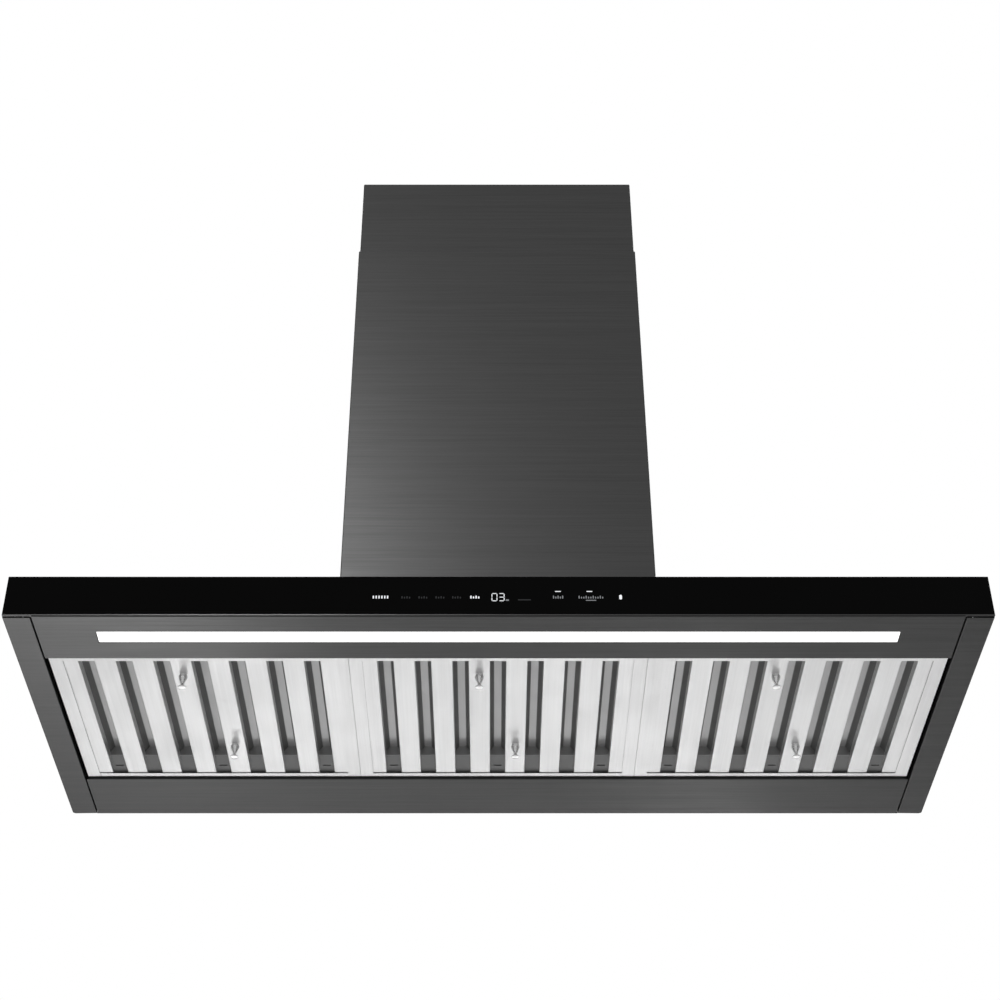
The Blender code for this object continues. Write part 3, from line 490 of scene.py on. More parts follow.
class Look:
    """One material under construction, around a Principled shader."""

    def __init__(self, name, metallic=0.0, roughness=0.5):
        self.material = bpy.data.materials.new(name)
        self.material.use_nodes = True
        self.tree = self.material.node_tree
        self.shader = self.tree.nodes["Principled BSDF"]
        self.set("Metallic", metallic)
        self.set("Roughness", roughness)

    def set(self, socket, value):
        self.shader.inputs[socket].default_value = value

    def group(self, group, **values):
        node = self.tree.nodes.new("ShaderNodeGroup")
        node.node_tree = group
        for name, value in values.items():
            node.inputs[name.replace("_", " ")].default_value = value
        return node.outputs

    def colours(self, factor, first, second, socket="Base Color"):
        """Blend two colours by a value into a colour socket."""
        mix = self.tree.nodes.new("ShaderNodeMix")
        mix.data_type = "RGBA"
        self.tree.links.new(factor, mix.inputs["Factor"])
        ends = [end for end in mix.inputs if end.type == "RGBA"]
        for end, colour in zip(ends, (first, second)):
            end.default_value = (*colour, 1.0)
        result = [end for end in mix.outputs if end.type == "RGBA"][0]
        self.tree.links.new(result, self.shader.inputs[socket])

    def spread(self, factor, low, high):
        return map_range(self.tree, factor, target=(low, high))

    def roughness(self, value):
        self.tree.links.new(value, self.shader.inputs["Roughness"])

    def bump(self, height, strength, distance):
        node = self.tree.nodes.new("ShaderNodeBump")
        node.inputs["Strength"].default_value = strength
        node.inputs["Distance"].default_value = distance
        self.tree.links.new(height, node.inputs["Height"])
        self.tree.links.new(node.outputs["Normal"], self.shader.inputs["Normal"])


def grey(value):
    return (value, value, value)


def brushed_steel(name, dark, light, smooth, rough, level, upright, edge=1.0, wiped=0.05):
    look = Look(name, metallic=1.0)
    grain = look.group(groups["grain"], Level_Stretch=level, Upright_Stretch=upright)
    marks = look.group(groups["handling"])
    look.colours(grain["Streak"], grey(dark), grey(light))
    rough_grain = look.spread(grain["Streak"], rough, smooth)
    smears = look.spread(marks["Mask"], 0.0, wiped)
    look.roughness(math_node(look.tree, "ADD", rough_grain, smears))
    look.bump(grain["Height"], 0.04, 0.0001)
    look.set("Specular Tint", (*grey(edge), 1.0))
    return look.material


def mill_steel_painted_shade(name, upright, level):
    """Unbrushed inside faces: greyer, with painted shade that gives upright and sloping faces one
    tone and level faces another.
    """
    look = Look(name, metallic=0.7)
    shade_by_tilt = look.group(groups["shade_by_tilt"])
    fine = look.group(groups["pebble"], Scale=500.0)
    # Painted shade: the grey follows how level a face is, not the metal.
    look.colours(shade_by_tilt["Level"], grey(upright), grey(level))
    look.roughness(look.spread(fine["Tone"], 0.38, 0.52))
    look.bump(fine["Height"], 0.05, 0.0001)
    return look.material


def galvanised_steel(name):
    look = Look(name, metallic=1.0)
    zinc = look.group(groups["spangle"])
    look.colours(zinc["Tone"], (0.40, 0.42, 0.44), (0.62, 0.64, 0.65))
    look.roughness(look.spread(zinc["Tone"], 0.32, 0.55))
    look.bump(zinc["Height"], 0.06, 0.0002)
    return look.material


def black_glass(name):
    look = Look(name)
    marks = look.group(groups["handling"], Size=5.0)
    look.colours(marks["Mask"], grey(0.0010), grey(0.0014))
    look.roughness(look.spread(marks["Mask"], 0.03, 0.07))
    look.set("Specular IOR Level", 0.05)
    return look.material


def lamp_diffuser(name):
    look = Look(name)
    fine = look.group(groups["pebble"], Scale=900.0)
    look.colours(fine["Tone"], grey(0.86), grey(0.92))
    look.colours(fine["Tone"], (1.0, 0.99, 0.97), (1.0, 1.0, 1.0), "Emission Color")
    look.set("Emission Strength", 1.6)
    look.bump(fine["Height"], 0.1, 0.0001)
    return look.material


def circuit_board(name):
    look = Look(name, roughness=0.45)
    tracks = look.group(groups["spangle"], Scale=260.0)
    look.colours(tracks["Tone"], (0.012, 0.085, 0.036), (0.022, 0.16, 0.075))
    look.bump(tracks["Height"], 0.2, 0.0001)
    return look.material


def moulded(name, first, second, metallic, smooth, rough, scale, strength):
    look = Look(name, metallic=metallic)
    fine = look.group(groups["pebble"], Scale=scale)
    look.colours(fine["Tone"], first, second)
    look.roughness(look.spread(fine["Tone"], smooth, rough))
    look.bump(fine["Height"], strength, 0.0002)
    return look.material


def lit_mark(name, colour, strength):
    look = Look(name, roughness=0.4)
    marks = look.group(groups["handling"], Size=40.0)
    look.colours(marks["Mask"], grey(0.01), grey(0.02))
    faded = tuple(0.9 * part for part in colour)
    look.colours(marks["Mask"], colour, faded, "Emission Color")
    look.set("Emission Strength", strength)
    look.set("Specular IOR Level", 0.1)
    return look.material


groups = {"grain": brushed_grain_group(), "handling": handling_group(),
          "spangle": spangle_group(), "pebble": pebble_group(), "shade_by_tilt": shade_by_tilt_group()}
finishes = {
    "dark_brushed_steel": (brushed_steel, 0.076, 0.092, 0.36, 0.42,
                           (10.0, 850.0, 1.0), (10.0, 10.0, 850.0), 0.9, 0.02),
    "bright_brushed_steel": (brushed_steel, 0.92, 0.97, 0.34, 0.40,
                             (420.0, 6.0, 1.0), (300.0, 6.0, 300.0)),
    # Painted shade: the first copy darkens upright and sloping faces, the second darkens level
    # floors.
    "mill_steel_painted_shade": (mill_steel_painted_shade, 0.30, 0.66),
    "closure_steel_painted_shade": (mill_steel_painted_shade, 0.46, 0.26),
    "galvanised_steel": (galvanised_steel,),
    "black_glass": (black_glass,),
    "lamp_diffuser": (lamp_diffuser,),
    "circuit_board": (circuit_board,),
    "black_plastic": (moulded, grey(0.018), grey(0.030), 0.0, 0.42, 0.60, 1400.0, 0.25),
    "chrome": (moulded, grey(0.90), grey(0.96), 1.0, 0.16, 0.24, 60.0, 0.02),
    "spring_steel": (moulded, grey(0.50), grey(0.62), 1.0, 0.25, 0.38, 500.0, 0.05),
    "motor_casting": (moulded, grey(0.22), grey(0.32), 1.0, 0.45, 0.62, 700.0, 0.35),
}
materials = {name: make(name, *values) for name, (make, *values) in finishes.items()}
bright_mark = lit_mark("bright_mark", (0.95, 0.97, 1.0), 1.0)
soft_mark = lit_mark("soft_mark", (0.85, 0.88, 0.92), 0.26)
dim_mark = lit_mark("dim_mark", (0.75, 0.78, 0.82), 0.030)


# ---- chimney

def chimney_cover(name, node, body):
    """One wrapped sheet with rounded corners and a narrow seam down the middle of its back."""
    low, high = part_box(node)
    cover = start_box(name, low, high)
    remove_faces(cover, either(lies(z=low.z), lies(z=high.z)))
    bend(cover, lies(along="Z"), COVER_BEND)
    score(cover, "X", -SEAM_GAP / 2, SEAM_GAP / 2, test=lies(y=high.y))
    remove_faces(cover, lies(x=(-SEAM_GAP / 2, SEAM_GAP / 2), y=high.y))
    thicken(cover, COVER_SHEET)
    top = lies(z=high.z)
    inside = lies(x=(low.x + COVER_SHEET / 2, high.x - COVER_SHEET / 2),
                  y=(low.y + COVER_SHEET / 2, high.y - COVER_SHEET / 2))
    bend(cover, lambda edge: top(edge) and not inside(edge), COVER_TOP_ROUND)
    break_edges(cover, SKIN_EDGE)
    shade(cover)
    finish_piece(cover, body, "dark_brushed_steel", node)


def screw_head(name, centre, radius, direction, sign):
    """A low domed head with a cross recess; its sizes are shares of the radius."""
    rise, arm_half, arm_reach, depth = 0.42, 0.09, 0.52, 0.22
    dome = [(0.0, rise), (0.45, 0.40), (0.80, 0.28), (1.0, 0.08), (1.0, 0.0), (0.0, 0.0)]
    profile = [(part * radius, sign * level * radius) for part, level in dome]
    head = turn(name, profile, direction, centre, 24)
    along = "XYZ".index(direction)
    middle = Vector(centre)
    middle[along] += sign * rise * radius
    tools = []
    for arm in ((along + 1) % 3, (along + 2) % 3):
        half = Vector((arm_half, arm_half, arm_half)) * radius
        half[arm] = arm_reach * radius
        half[along] = depth * radius
        tools.append(start_box("recess", middle - half, middle + half))
    cut(head, *tools)
    shade(head, 40)
    return head


def seam_strip(name, body, z_low, z_high, inner_face):
    """A backing strip riveted inside a cover's seam."""
    half = 0.014
    strip = start_box(name, (-half, inner_face - FIT_GAP - STRIP_SHEET, z_low),
                      (half, inner_face - FIT_GAP, z_high))
    break_edges(strip, FORMED_EDGE)
    shade(strip)
    finish_piece(strip, body, "galvanised_steel")


def build_chimney():
    chimney_cover("lower_sleeve", "lower_chimney_cover", "hood")
    chimney_cover("upper_sleeve", "upper_chimney_cover", "ceiling_mount")
    lower_low, lower_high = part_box("lower_chimney_cover")
    upper_low, upper_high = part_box("upper_chimney_cover")
    seam_strip("lower_seam_strip", "hood", lower_low.z + 0.012, lower_low.z + 0.180,
               lower_high.y - COVER_SHEET)
    seam_strip("upper_seam_strip", "ceiling_mount", upper_low.z + 0.035, upper_high.z - 0.012,
               upper_high.y - COVER_SHEET)
    fixed = ["ceiling_plate", "upper_tie_front", "upper_tie_rear"]
    fixed += [f"upper_post_{place}" for place in POST_PLACES]
    moving = ["post_base_ring"] + [f"lower_post_{place}" for place in POST_PLACES]
    for body, nodes in (("ceiling_mount", fixed), ("hood", moving)):
        for node in nodes:
            formed(node, f"{node}_formed", body, "galvanised_steel")


# ---- canopy

def side_rail(side, sign):
    """End rail: outer wall carried round the rear corner, bottom flange and inner lip."""
    node = f"side_rail_{side}"
    low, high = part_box(node)
    outer, inner = (high.x, low.x) if sign > 0 else (low.x, high.x)
    lip_end = high.y - RAIL_END_WALL
    lip = lies(x=inner, y=(low.y, lip_end), z=low.z, along="Y")
    rail = start_box(f"end_rail_{side}", low, high)
    remove_faces(rail, either(lies(z=high.z), lies(y=low.y), lies(x=inner)))
    score(rail, "Y", lip_end, test=lies(z=low.z))
    pull(rail, lip, (0, 0, RAIL_LIP))
    bend(rail, lies(x=outer, y=high.y, along="Z"), RAIL_CORNER, 8)
    bottom_corner = either(lip, lies(x=outer, z=low.z, along="Y"),
                           lies(y=high.y, z=low.z, along="X"))
    bend(rail, bottom_corner, PANEL_BEND, 3)
    thicken(rail, PANEL_SHEET)
    break_edges(rail)
    shade(rail)
    finish_piece(rail, "hood", "dark_brushed_steel", node)


def build_canopy():
    for side, sign in (("left", -1), ("right", 1)):
        side_rail(side, sign)
    formed("canopy_top_panel", "top_skin", "hood", "dark_brushed_steel", SKIN_EDGE)
    formed("rear_wall", "back_skin", "hood", "dark_brushed_steel", SKIN_EDGE)
    front_panel()
    rear_panel()


def front_panel():
    """Pan in front of the filters with the lamp slot pressed through it."""
    node = "front_bottom_panel"
    low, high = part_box(node)
    lamp_low, lamp_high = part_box("led_diffuser")
    lamp_low = lamp_low - Vector((FIT_GAP, FIT_GAP, 0))
    lamp_high = lamp_high + Vector((FIT_GAP, FIT_GAP, 0))
    across, along = (lamp_low.x, lamp_high.x), (lamp_low.y, lamp_high.y)
    panel = start_pan("front_pan", low, high)
    score(panel, "X", *across)
    score(panel, "Y", *along)
    remove_faces(panel, lies(x=across, y=along))
    rim = either(*[lies(x=x, y=along, z=low.z) for x in across],
                 *[lies(x=across, y=y, z=low.z) for y in along])
    pull(panel, rim, (0, 0, LAMP_FOLD))
    pull(panel, lies(y=high.y, z=low.z), (0, 0, high.z - low.z))
    pull(panel, lies(y=low.y, z=low.z), (0, 0, PANEL_SIDE_LIP))
    folds = either(rim, lies(y=high.y, z=low.z, along="X"), lies(y=low.y, z=low.z, along="X"))
    bend(panel, folds, PANEL_BEND, 3)
    thicken(panel, PANEL_SHEET)
    break_edges(panel)
    shade(panel)
    finish_piece(panel, "hood", "dark_brushed_steel", node)


def rear_panel():
    """Pan behind the filters; its lip has slots for the filters' hinge tabs, and a black strip that
    paints the shade in the gap behind the filters.
    """
    node = "rear_bottom_panel"
    low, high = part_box(node)
    panel = start_pan("rear_pan", low, high)
    pull(panel, lies(y=low.y, z=low.z), (0, 0, high.z - low.z))
    bend(panel, lies(y=low.y, z=low.z, along="X"), 0.0005, 3)
    thicken(panel, PANEL_SHEET)
    tools = []
    foot, top = TAB_SLOT_LEVELS
    for side in SIDES:
        rim_low, rim_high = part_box(f"filter_frame_{side}")
        for offset in TAB_OFFSETS:
            x = (rim_low.x + rim_high.x) / 2 + offset
            tools.append(start_box("tab_slot", (x - TAB_SLOT_HALF, low.y - 0.01, low.z + foot),
                                   (x + TAB_SLOT_HALF, low.y + 0.01, low.z + top)))
    cut(panel, *tools)
    break_edges(panel)
    shade(panel)
    finish_piece(panel, "hood", "dark_brushed_steel", node)
    # Painted shade: a black strip on the lip's face, where the gap behind the filters falls dark.
    end_gap, shade_strip_foot, shade_strip_top = 0.004, 0.0006, 0.0056
    shade_strip = start_box("filter_seal", (low.x + end_gap, low.y - SHADE_STRIP_SHEET, low.z + shade_strip_foot),
                     (high.x - end_gap, low.y - NEAR, low.z + shade_strip_top))
    break_edges(shade_strip, FORMED_EDGE)
    shade(shade_strip)
    finish_piece(shade_strip, "hood", "black_plastic")


# ---- glass front and lamp

def build_front():
    low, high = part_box("front_glass")
    glass = start_box("fascia_glass", low + Vector((0, MARK_PROUD, 0)), high)
    break_edges(glass, GLASS_ARRIS, 3)
    shade(glass, 30)
    finish_piece(glass, "hood", "black_glass", "front_glass")
    formed("glass_carrier", "glass_trim", "hood", "dark_brushed_steel", FORMED_EDGE, 3)
    formed("touch_board", "touch_panel_board", "hood", "circuit_board", SKIN_EDGE)
    formed("control_case", "control_box", "hood", "black_plastic", 0.0004, 3)
    formed("main_board", "power_board", "hood", "circuit_board", SKIN_EDGE)


def build_lamp():
    lens = start_box("lamp_lens", *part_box("led_diffuser"))
    break_edges(lens, GLASS_ARRIS, 3)
    shade(lens)
    finish_piece(lens, "hood", "lamp_diffuser", "led_diffuser")
    formed("led_housing", "lamp_channel", "hood", "bright_brushed_steel")
    formed("led_board", "lamp_strip", "hood", "circuit_board", SKIN_EDGE)


def mark(name, x, z, width, height, look):
    """A small lit bar on the face of the glass; x from the middle, z above the glass's foot."""
    low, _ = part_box("front_glass")
    piece = start_box(name, (x - width / 2, low.y, low.z + z - height / 2),
                      (x + width / 2, low.y + MARK_PROUD, low.z + z + height / 2))
    bend(piece, lies(along="Y"), min(width, height) * 0.45, 3)
    piece.data.materials.clear()
    piece.data.materials.append(look)
    return piece


def digit(name, x, z, lit):
    """Seven thin segments; lit names the ones that glow."""
    width, height, stroke = 0.0062, 0.0108, 0.0010
    half = height / 4
    places = {
        "top": (0, height / 2, 1), "middle": (0, 0, 1), "foot": (0, -height / 2, 1),
        "upper_left": (-width / 2, half, 0), "upper_right": (width / 2, half, 0),
        "lower_left": (-width / 2, -half, 0), "lower_right": (width / 2, -half, 0),
    }
    bars = []
    for place, (dx, dz, level) in places.items():
        if place in lit:
            size = (width - stroke, stroke) if level else (stroke, height / 2 - stroke)
            bars.append(mark("bar", x + dx, z + dz, *size, bright_mark))
    return join(name, *bars)


def row_of_bars(name, x, count, pitch, width, heights, look):
    """Upright strokes side by side, standing on one line."""
    bars = []
    for step in range(count):
        height = heights[step % len(heights)]
        place = x + (step - (count - 1) / 2) * pitch
        bars.append(mark("bar", place, MARK_FOOT + height / 2, width, height, look))
    return join(name, *bars)


def build_display():
    """Key marks and a two-digit figure; rows are x, count, pitch, width, heights and glow."""
    light_key, link_key = 0.0736, 0.1140
    zero = ("top", "upper_right", "lower_right", "foot", "lower_left", "upper_left")
    three = ("top", "upper_right", "middle", "lower_right", "foot")
    pieces = [digit("speed_digit_tens", -0.0048, MARK_LINE, zero),
              digit("speed_digit_units", 0.0040, MARK_LINE, three)]
    rows = {
        "power_key_mark": (-0.1452, 6, 0.0035, 0.0017, (0.0044,), bright_mark),
        "auto_key_mark": (-0.0290, 4, 0.0032, 0.0018, (0.0044, 0.0032), bright_mark),
        "light_key_mark": (light_key, 5, 0.0028, 0.0014, (0.0044, 0.0030), soft_mark),
        "link_key_mark": (link_key, 11, 0.0029, 0.0014, (0.0042, 0.0028, 0.0028), soft_mark),
    }
    for number, x in enumerate((-0.1140, -0.0930, -0.0720, -0.0515), 1):
        rows[f"speed_key_mark_{number}"] = (x, 4, 0.0031, 0.0016, (0.0036, 0.0028), dim_mark)
    bars = {
        "unit_mark": (0.0110, MARK_LINE - 0.0044, 0.0042, 0.0022, soft_mark),
        "timer_mark": (0.0320, MARK_LINE - 0.0040, 0.0160, 0.0016, dim_mark),
        "night_mark": (0.1506, MARK_LINE, 0.0034, 0.0068, bright_mark),
        "link_key_note": (link_key, MARK_FOOT - 0.0026, 0.0130, 0.0012, soft_mark),
        "light_key_dash": (light_key, MARK_DASH, 0.0072, 0.0012, bright_mark),
        "link_key_dash": (0.1124, MARK_DASH, 0.0072, 0.0012, bright_mark),
    }
    pieces += [row_of_bars(name, *row) for name, row in rows.items()]
    pieces += [mark(name, *bar) for name, bar in bars.items()]
    for piece in pieces:
        shade(piece)
        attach(piece, "hood")


# ---- filters

def slot_middles(low, high):
    """The centre line of every slot of a filter, left to right."""
    middle = (low.x + high.x) / 2
    return [middle + (slot - (SLOT_COUNT - 1) / 2) * SLOT_PITCH for slot in range(SLOT_COUNT)]


def filter_rim(side):
    """Channel-section rim with the hinge tabs, the bolt's hole and three drain slits."""
    node = f"filter_frame_{side}"
    low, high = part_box(node)
    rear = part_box(f"upper_baffles_{side}")[1].y + RIM_REAR_GAP
    left, right = low.x - RIM_GROWTH, high.x + RIM_GROWTH
    rim = start_box(f"filter_rim_{side}", (left, low.y, low.z), (right, rear, high.z))
    for level, side_edge in ((low.z, SIDE_FLANGE), (high.z, END_FLANGE)):
        across = (low.x + side_edge, high.x - side_edge)
        along = (low.y + END_FLANGE, rear - END_FLANGE)
        score(rim, "X", *across, test=lies(z=level))
        score(rim, "Y", *along, test=lies(z=level))
        remove_faces(rim, lies(x=across, y=along, z=level))
    bend(rim, either(*[lies(x=x, y=y) for x in (left, right) for y in (low.y, rear)]), 0.0008)
    foot = either(*[lies(x=x, z=low.z) for x in (left, right)],
                  *[lies(y=y, z=low.z) for y in (low.y, rear)])
    bend(rim, foot, 0.0003, 2)
    thicken(rim, PANEL_SHEET)
    bolt_low, bolt_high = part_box(f"latch_bolt_{side}")
    room, reach = Vector((0.0010, 0.0, 0.0006)), 0.004
    tools = [start_box("bolt_hole", (bolt_low.x - room.x, low.y - 0.01, bolt_low.z - room.z),
                       (bolt_high.x + room.x, low.y + reach, bolt_high.z + room.z))]
    drain_half, drain_foot, drain_top = 0.0066, 0.0170, 0.0196
    for x in slot_middles(low, high)[::DRAIN_EVERY]:
        tools.append(start_box("drain", (x - drain_half, rear - reach, low.z + drain_foot),
                               (x + drain_half, rear + reach, low.z + drain_top)))
    cut(rim, *tools)
    tabs = []
    middle = (low.x + high.x) / 2
    for offset in TAB_OFFSETS:
        x = middle + offset
        tab = start_box("tab", (x - TAB_HALF, rear - PANEL_SHEET / 2, low.z + TAB_LEVELS[0]),
                        (x + TAB_HALF, high.y, low.z + TAB_LEVELS[1]))
        bend(tab, lies(y=high.y, along="Z"), 0.003)
        tabs.append(tab)
    rim = join(f"filter_rim_{side}", rim, *tabs)
    break_edges(rim, FINE_EDGE)
    shade(rim)
    finish_piece(rim, f"filter_{side}", "bright_brushed_steel", node)
    # The rim's inner faces take the unbrushed steel whose painted shade darkens their upright
    # walls.
    rim.data.materials.append(materials["mill_steel_painted_shade"])
    inside = Vector((middle, (low.y + rear) / 2, (low.z + high.z) / 2))
    choose(rim, "FACE", lambda face: (inside - middle_of(face)).dot(face.normal) > 0.002)
    rim.active_material_index = 1
    bpy.ops.object.material_slot_assign()
    put_down()


def lower_bars(side):
    """Eight upturned channels, front to back, the one over the latch with a slot for its stem."""
    node = f"lower_baffles_{side}"
    low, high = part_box(node)
    knob_low, knob_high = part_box(f"latch_knob_{side}")
    stem = (knob_low + knob_high) / 2
    stops = [low.x]
    for centre in slot_middles(low, high):
        stops += [centre - SLOT_WIDTH / 2, centre + SLOT_WIDTH / 2]
    stops.append(high.x)
    bars = []
    for left, right in zip(stops[::2], stops[1::2]):
        bar = start_box("bar", (left, low.y, low.z), (right, high.y, low.z + BAR_FLANGE))
        remove_faces(bar, either(lies(z=low.z + BAR_FLANGE), lies(y=low.y), lies(y=high.y)))
        if left == stops[0]:
            remove_faces(bar, lies(x=left))
        if right == stops[-1]:
            remove_faces(bar, lies(x=right))
        if left < stem.x < right:
            across = (stem.x - STEM_HOLE, stem.x + STEM_HOLE)
            along = (stem.y - STEM_HOLE, stem.y + LATCH_TRAVEL + STEM_HOLE)
            score(bar, "X", *across, test=lies(z=low.z))
            score(bar, "Y", *along, test=lies(z=low.z))
            remove_faces(bar, lies(x=across, y=along, z=low.z))
        bend(bar, either(*[lies(x=x, z=low.z, along="Y") for x in (left, right)]), BAR_BEND)
        bars.append(bar)
    piece = join(f"filter_bars_{side}", *bars)
    thicken(piece, PANEL_SHEET)
    break_edges(piece, 0.00012, 1)
    shade(piece)
    finish_piece(piece, f"filter_{side}", "bright_brushed_steel", node)


def lean_in(piece, centre, top):
    """Bring a channel's sides together at its top."""
    choose(piece, "VERT", lies(z=top))
    bpy.ops.transform.resize(value=(HOOD_WEB_HALF / HOOD_FOOT_HALF, 1.0, 1.0),
                             center_override=(centre, 0, top))
    put_down()


def upper_channels(side):
    """Seven inverted channels that close the slots from above."""
    node = f"upper_baffles_{side}"
    low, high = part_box(node)
    channels = []
    for centre in slot_middles(low, high):
        channel = start_box("channel", (centre - HOOD_FOOT_HALF, low.y, low.z),
                            (centre + HOOD_FOOT_HALF, high.y, high.z))
        remove_faces(channel, either(lies(z=low.z), lies(y=low.y), lies(y=high.y)))
        lean_in(channel, centre, high.z)
        sides = (centre - HOOD_WEB_HALF, centre + HOOD_WEB_HALF)
        bend(channel, either(*[lies(x=x, z=high.z, along="Y") for x in sides]), BAR_BEND)
        channels.append(channel)
    piece = join(f"filter_hoods_{side}", *channels)
    thicken(piece, PANEL_SHEET)
    shade(piece)
    # The channels take the unbrushed steel whose painted shade darkens their sloping sides.
    finish_piece(piece, f"filter_{side}", "bright_brushed_steel", node, finish="mill_steel_painted_shade")


def slot_closures(side):
    """Trays that close the rear end of every slot, their floors falling to a drain."""
    low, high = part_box(f"upper_baffles_{side}")
    front, top, floor = high.y - CLOSURE_DEPTH, high.z - PANEL_SHEET, low.z + 0.0010
    centres = slot_middles(low, high)
    trays = []
    for centre in centres:
        left, right = centre - HOOD_FOOT_HALF, centre + HOOD_FOOT_HALF
        tray = start_box("tray", (left, front, floor), (right, high.y, top))
        remove_faces(tray, either(lies(z=top), lies(y=high.y), lies(x=left), lies(x=right)))
        lean_in(tray, centre, top)
        choose(tray, "VERT", lies(y=high.y, z=floor))
        bpy.ops.transform.translate(value=(0.0, 0.0, -CLOSURE_DROP))
        put_down()
        bend(tray, lies(y=front, z=floor, along="X"), 0.0008, 3)
        trays.append(tray)
    piece = join(f"slot_closures_{side}", *trays)
    thicken(piece, CLOSURE_SHEET, 1.0)
    half, reach, front_gap, rear_gap = 0.0056, 0.010, 0.0208, 0.0187
    cut(piece, *[start_box("drain", (x - half, high.y - front_gap, low.z - reach),
                           (x + half, high.y - rear_gap, low.z + reach))
                 for x in centres[::DRAIN_EVERY]])
    shade(piece)
    # The trays take the copy of the unbrushed steel whose painted shade darkens their level floors.
    finish_piece(piece, f"filter_{side}", "bright_brushed_steel", finish="closure_steel_painted_shade")


def pull_knob(name, node, body):
    """Turned knob: a flat disc to hold, a narrow neck and a cone up to its collar; maybe a stem."""
    low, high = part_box(node)
    centre = ((low.x + high.x) / 2, (low.y + high.y) / 2, low.z)
    length, stem = high.z - low.z, 0.0025
    height = min(length, 0.020)
    parts = [(0.0, 0.0), (0.0046, 0.0), (0.0054, 0.0004), (0.0054, 0.0010), (0.0046, 0.0015),
             (0.0022, 0.0019), (0.0019, 0.0032), (0.0020, 0.0060), (0.0030, 0.0085),
             (0.0056, 0.0150), (0.0058, 0.0168), (0.0040, 0.0176), (0.0040, 0.0182),
             (0.0048, 0.0186), (0.0048, height)]
    if length > height + NEAR:
        parts += [(stem, height), (stem, length)]
    parts.append((0.0, length))
    knob = turn(name, parts, "Z", centre, 40)
    break_edges(knob, FINE_EDGE, 2, 40)
    shade(knob, 40)
    finish_piece(knob, body, "chrome", node)


def build_filters():
    for side in SIDES:
        filter_rim(side)
        lower_bars(side)
        upper_channels(side)
        slot_closures(side)
        pull_knob(f"grip_pull_{side}", f"grip_knob_{side}", f"filter_{side}")
        pull_knob(f"latch_pull_knob_{side}", f"latch_knob_{side}", f"latch_{side}")
        formed(f"latch_bolt_{side}", f"latch_slide_{side}", f"latch_{side}", "spring_steel")


# ---- blower

def build_blower():
    for node, name, body, width in (
            ("blower_box", "fan_box", "hood", 0.0005),
            ("scroll_housing", "fan_scroll", "hood", 0.0004),
            ("motor_bracket", "motor_spider", "hood", 0.0004),
            ("damper_bar", "damper_stop", "hood", FORMED_EDGE),
            ("damper_flap_front", "front_flap", "damper_front", FINE_EDGE),
            ("damper_flap_rear", "rear_flap", "damper_rear", FINE_EDGE),
            ("impeller", "fan_wheel", "impeller", FINE_EDGE)):
        formed(node, name, body, "galvanised_steel", width)
    formed("motor_shaft", "fan_shaft", "impeller", "chrome", 0.0004)
    fan_motor()
    run_capacitor()
    duct_spigot()


def turned_part(name, parts, axis, centre, segments, look, node):
    """A lathe-turned piece that stays on the hood."""
    piece = turn(name, parts, axis, centre, segments)
    break_edges(piece, SKIN_EDGE, 2, 40)
    shade(piece)
    finish_piece(piece, "hood", look, node)


def fan_motor():
    """Closed motor: ribbed drum, shouldered ends and a bore for the shaft."""
    low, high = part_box("motor")
    axis = (0.0, (low.y + high.y) / 2, (low.z + high.z) / 2)
    bore, hub, drum, groove = 0.0046, 0.0140, 0.0400, 0.0374
    parts = [(0.0, 0.0325), (bore, 0.0325), (bore, low.x), (hub, low.x), (0.0150, 0.0115),
             (0.0270, 0.0115), (0.0285, low.x), (0.0300, low.x), (0.0380, 0.0140), (drum, 0.0170)]
    first_rib, rib_pitch, rib_count = 0.0215, 0.0078, 7
    for rib in range(rib_count):
        start = first_rib + rib_pitch * rib
        parts += [(drum, start), (groove, start + 0.0008), (groove, start + 0.0036),
                  (drum, start + 0.0044)]
    parts += [(drum, 0.0770), (0.0380, 0.0820), (0.0300, high.x), (0.0130, high.x),
              (0.0120, 0.0845), (0.0, 0.0845)]
    turned_part("fan_motor", parts, "X", axis, 72, "motor_casting", "motor")


def run_capacitor():
    """A plastic can with a rolled groove under its lid."""
    low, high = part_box("capacitor")
    foot = ((low.x + high.x) / 2, (low.y + high.y) / 2, low.z)
    can, groove = 0.0180, 0.0172
    parts = [(0.0, 0.0), (0.0168, 0.0), (can, 0.0012), (can, 0.0540), (groove, 0.0550),
             (groove, 0.0562), (can, 0.0572), (can, 0.0600), (0.0170, 0.0612), (0.0150, 0.0612),
             (0.0146, 0.0606), (0.0050, 0.0606), (0.0044, 0.0630), (0.0, 0.0630)]
    turned_part("run_capacitor", parts, "Z", foot, 48, "black_plastic", "capacitor")


def duct_spigot():
    """Flanged collar with a rolled bead, drilled for the flaps' pins."""
    low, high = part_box("duct_collar")
    height = high.z - low.z
    inner, outer, bead = 0.0983, 0.0995, 0.0995 + 0.0014
    parts = [(inner, 0.0), (high.x, 0.0), (high.x, SPIGOT_FLANGE), (0.1005, SPIGOT_FLANGE),
             (outer, 0.0022), (outer, 0.0500), (bead, 0.0518), (bead, 0.0542), (outer, 0.0560),
             (outer, height), (inner, height), (inner, 0.0)]
    spigot = turn("duct_spigot", parts, "Z", (0.0, 0.0, low.z), 96)
    pin, reach = 0.0019, 0.12
    tools = []
    for node in ("damper_flap_front", "damper_flap_rear"):
        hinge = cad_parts[node].matrix_world.translation
        tools.append(turn("pin_hole", [(0.0, -reach), (pin, -reach), (pin, reach), (0.0, reach)],
                          "X", (0.0, hinge.y, hinge.z), 20))
    cut(spigot, *tools)
    break_edges(spigot, FINE_EDGE, 1)
    shade(spigot)
    finish_piece(spigot, "hood", "galvanised_steel", "duct_collar")


def screws(name, places, direction, sign, radius, body):
    """The same head modelled once and copied to every place, as one piece."""
    first = screw_head(name, places[0], radius, direction, sign)
    heads = [copy_of(first, "head", Vector(place) - Vector(places[0])) for place in places[1:]]
    finish_piece(join(name, first, *heads), body, "chrome")


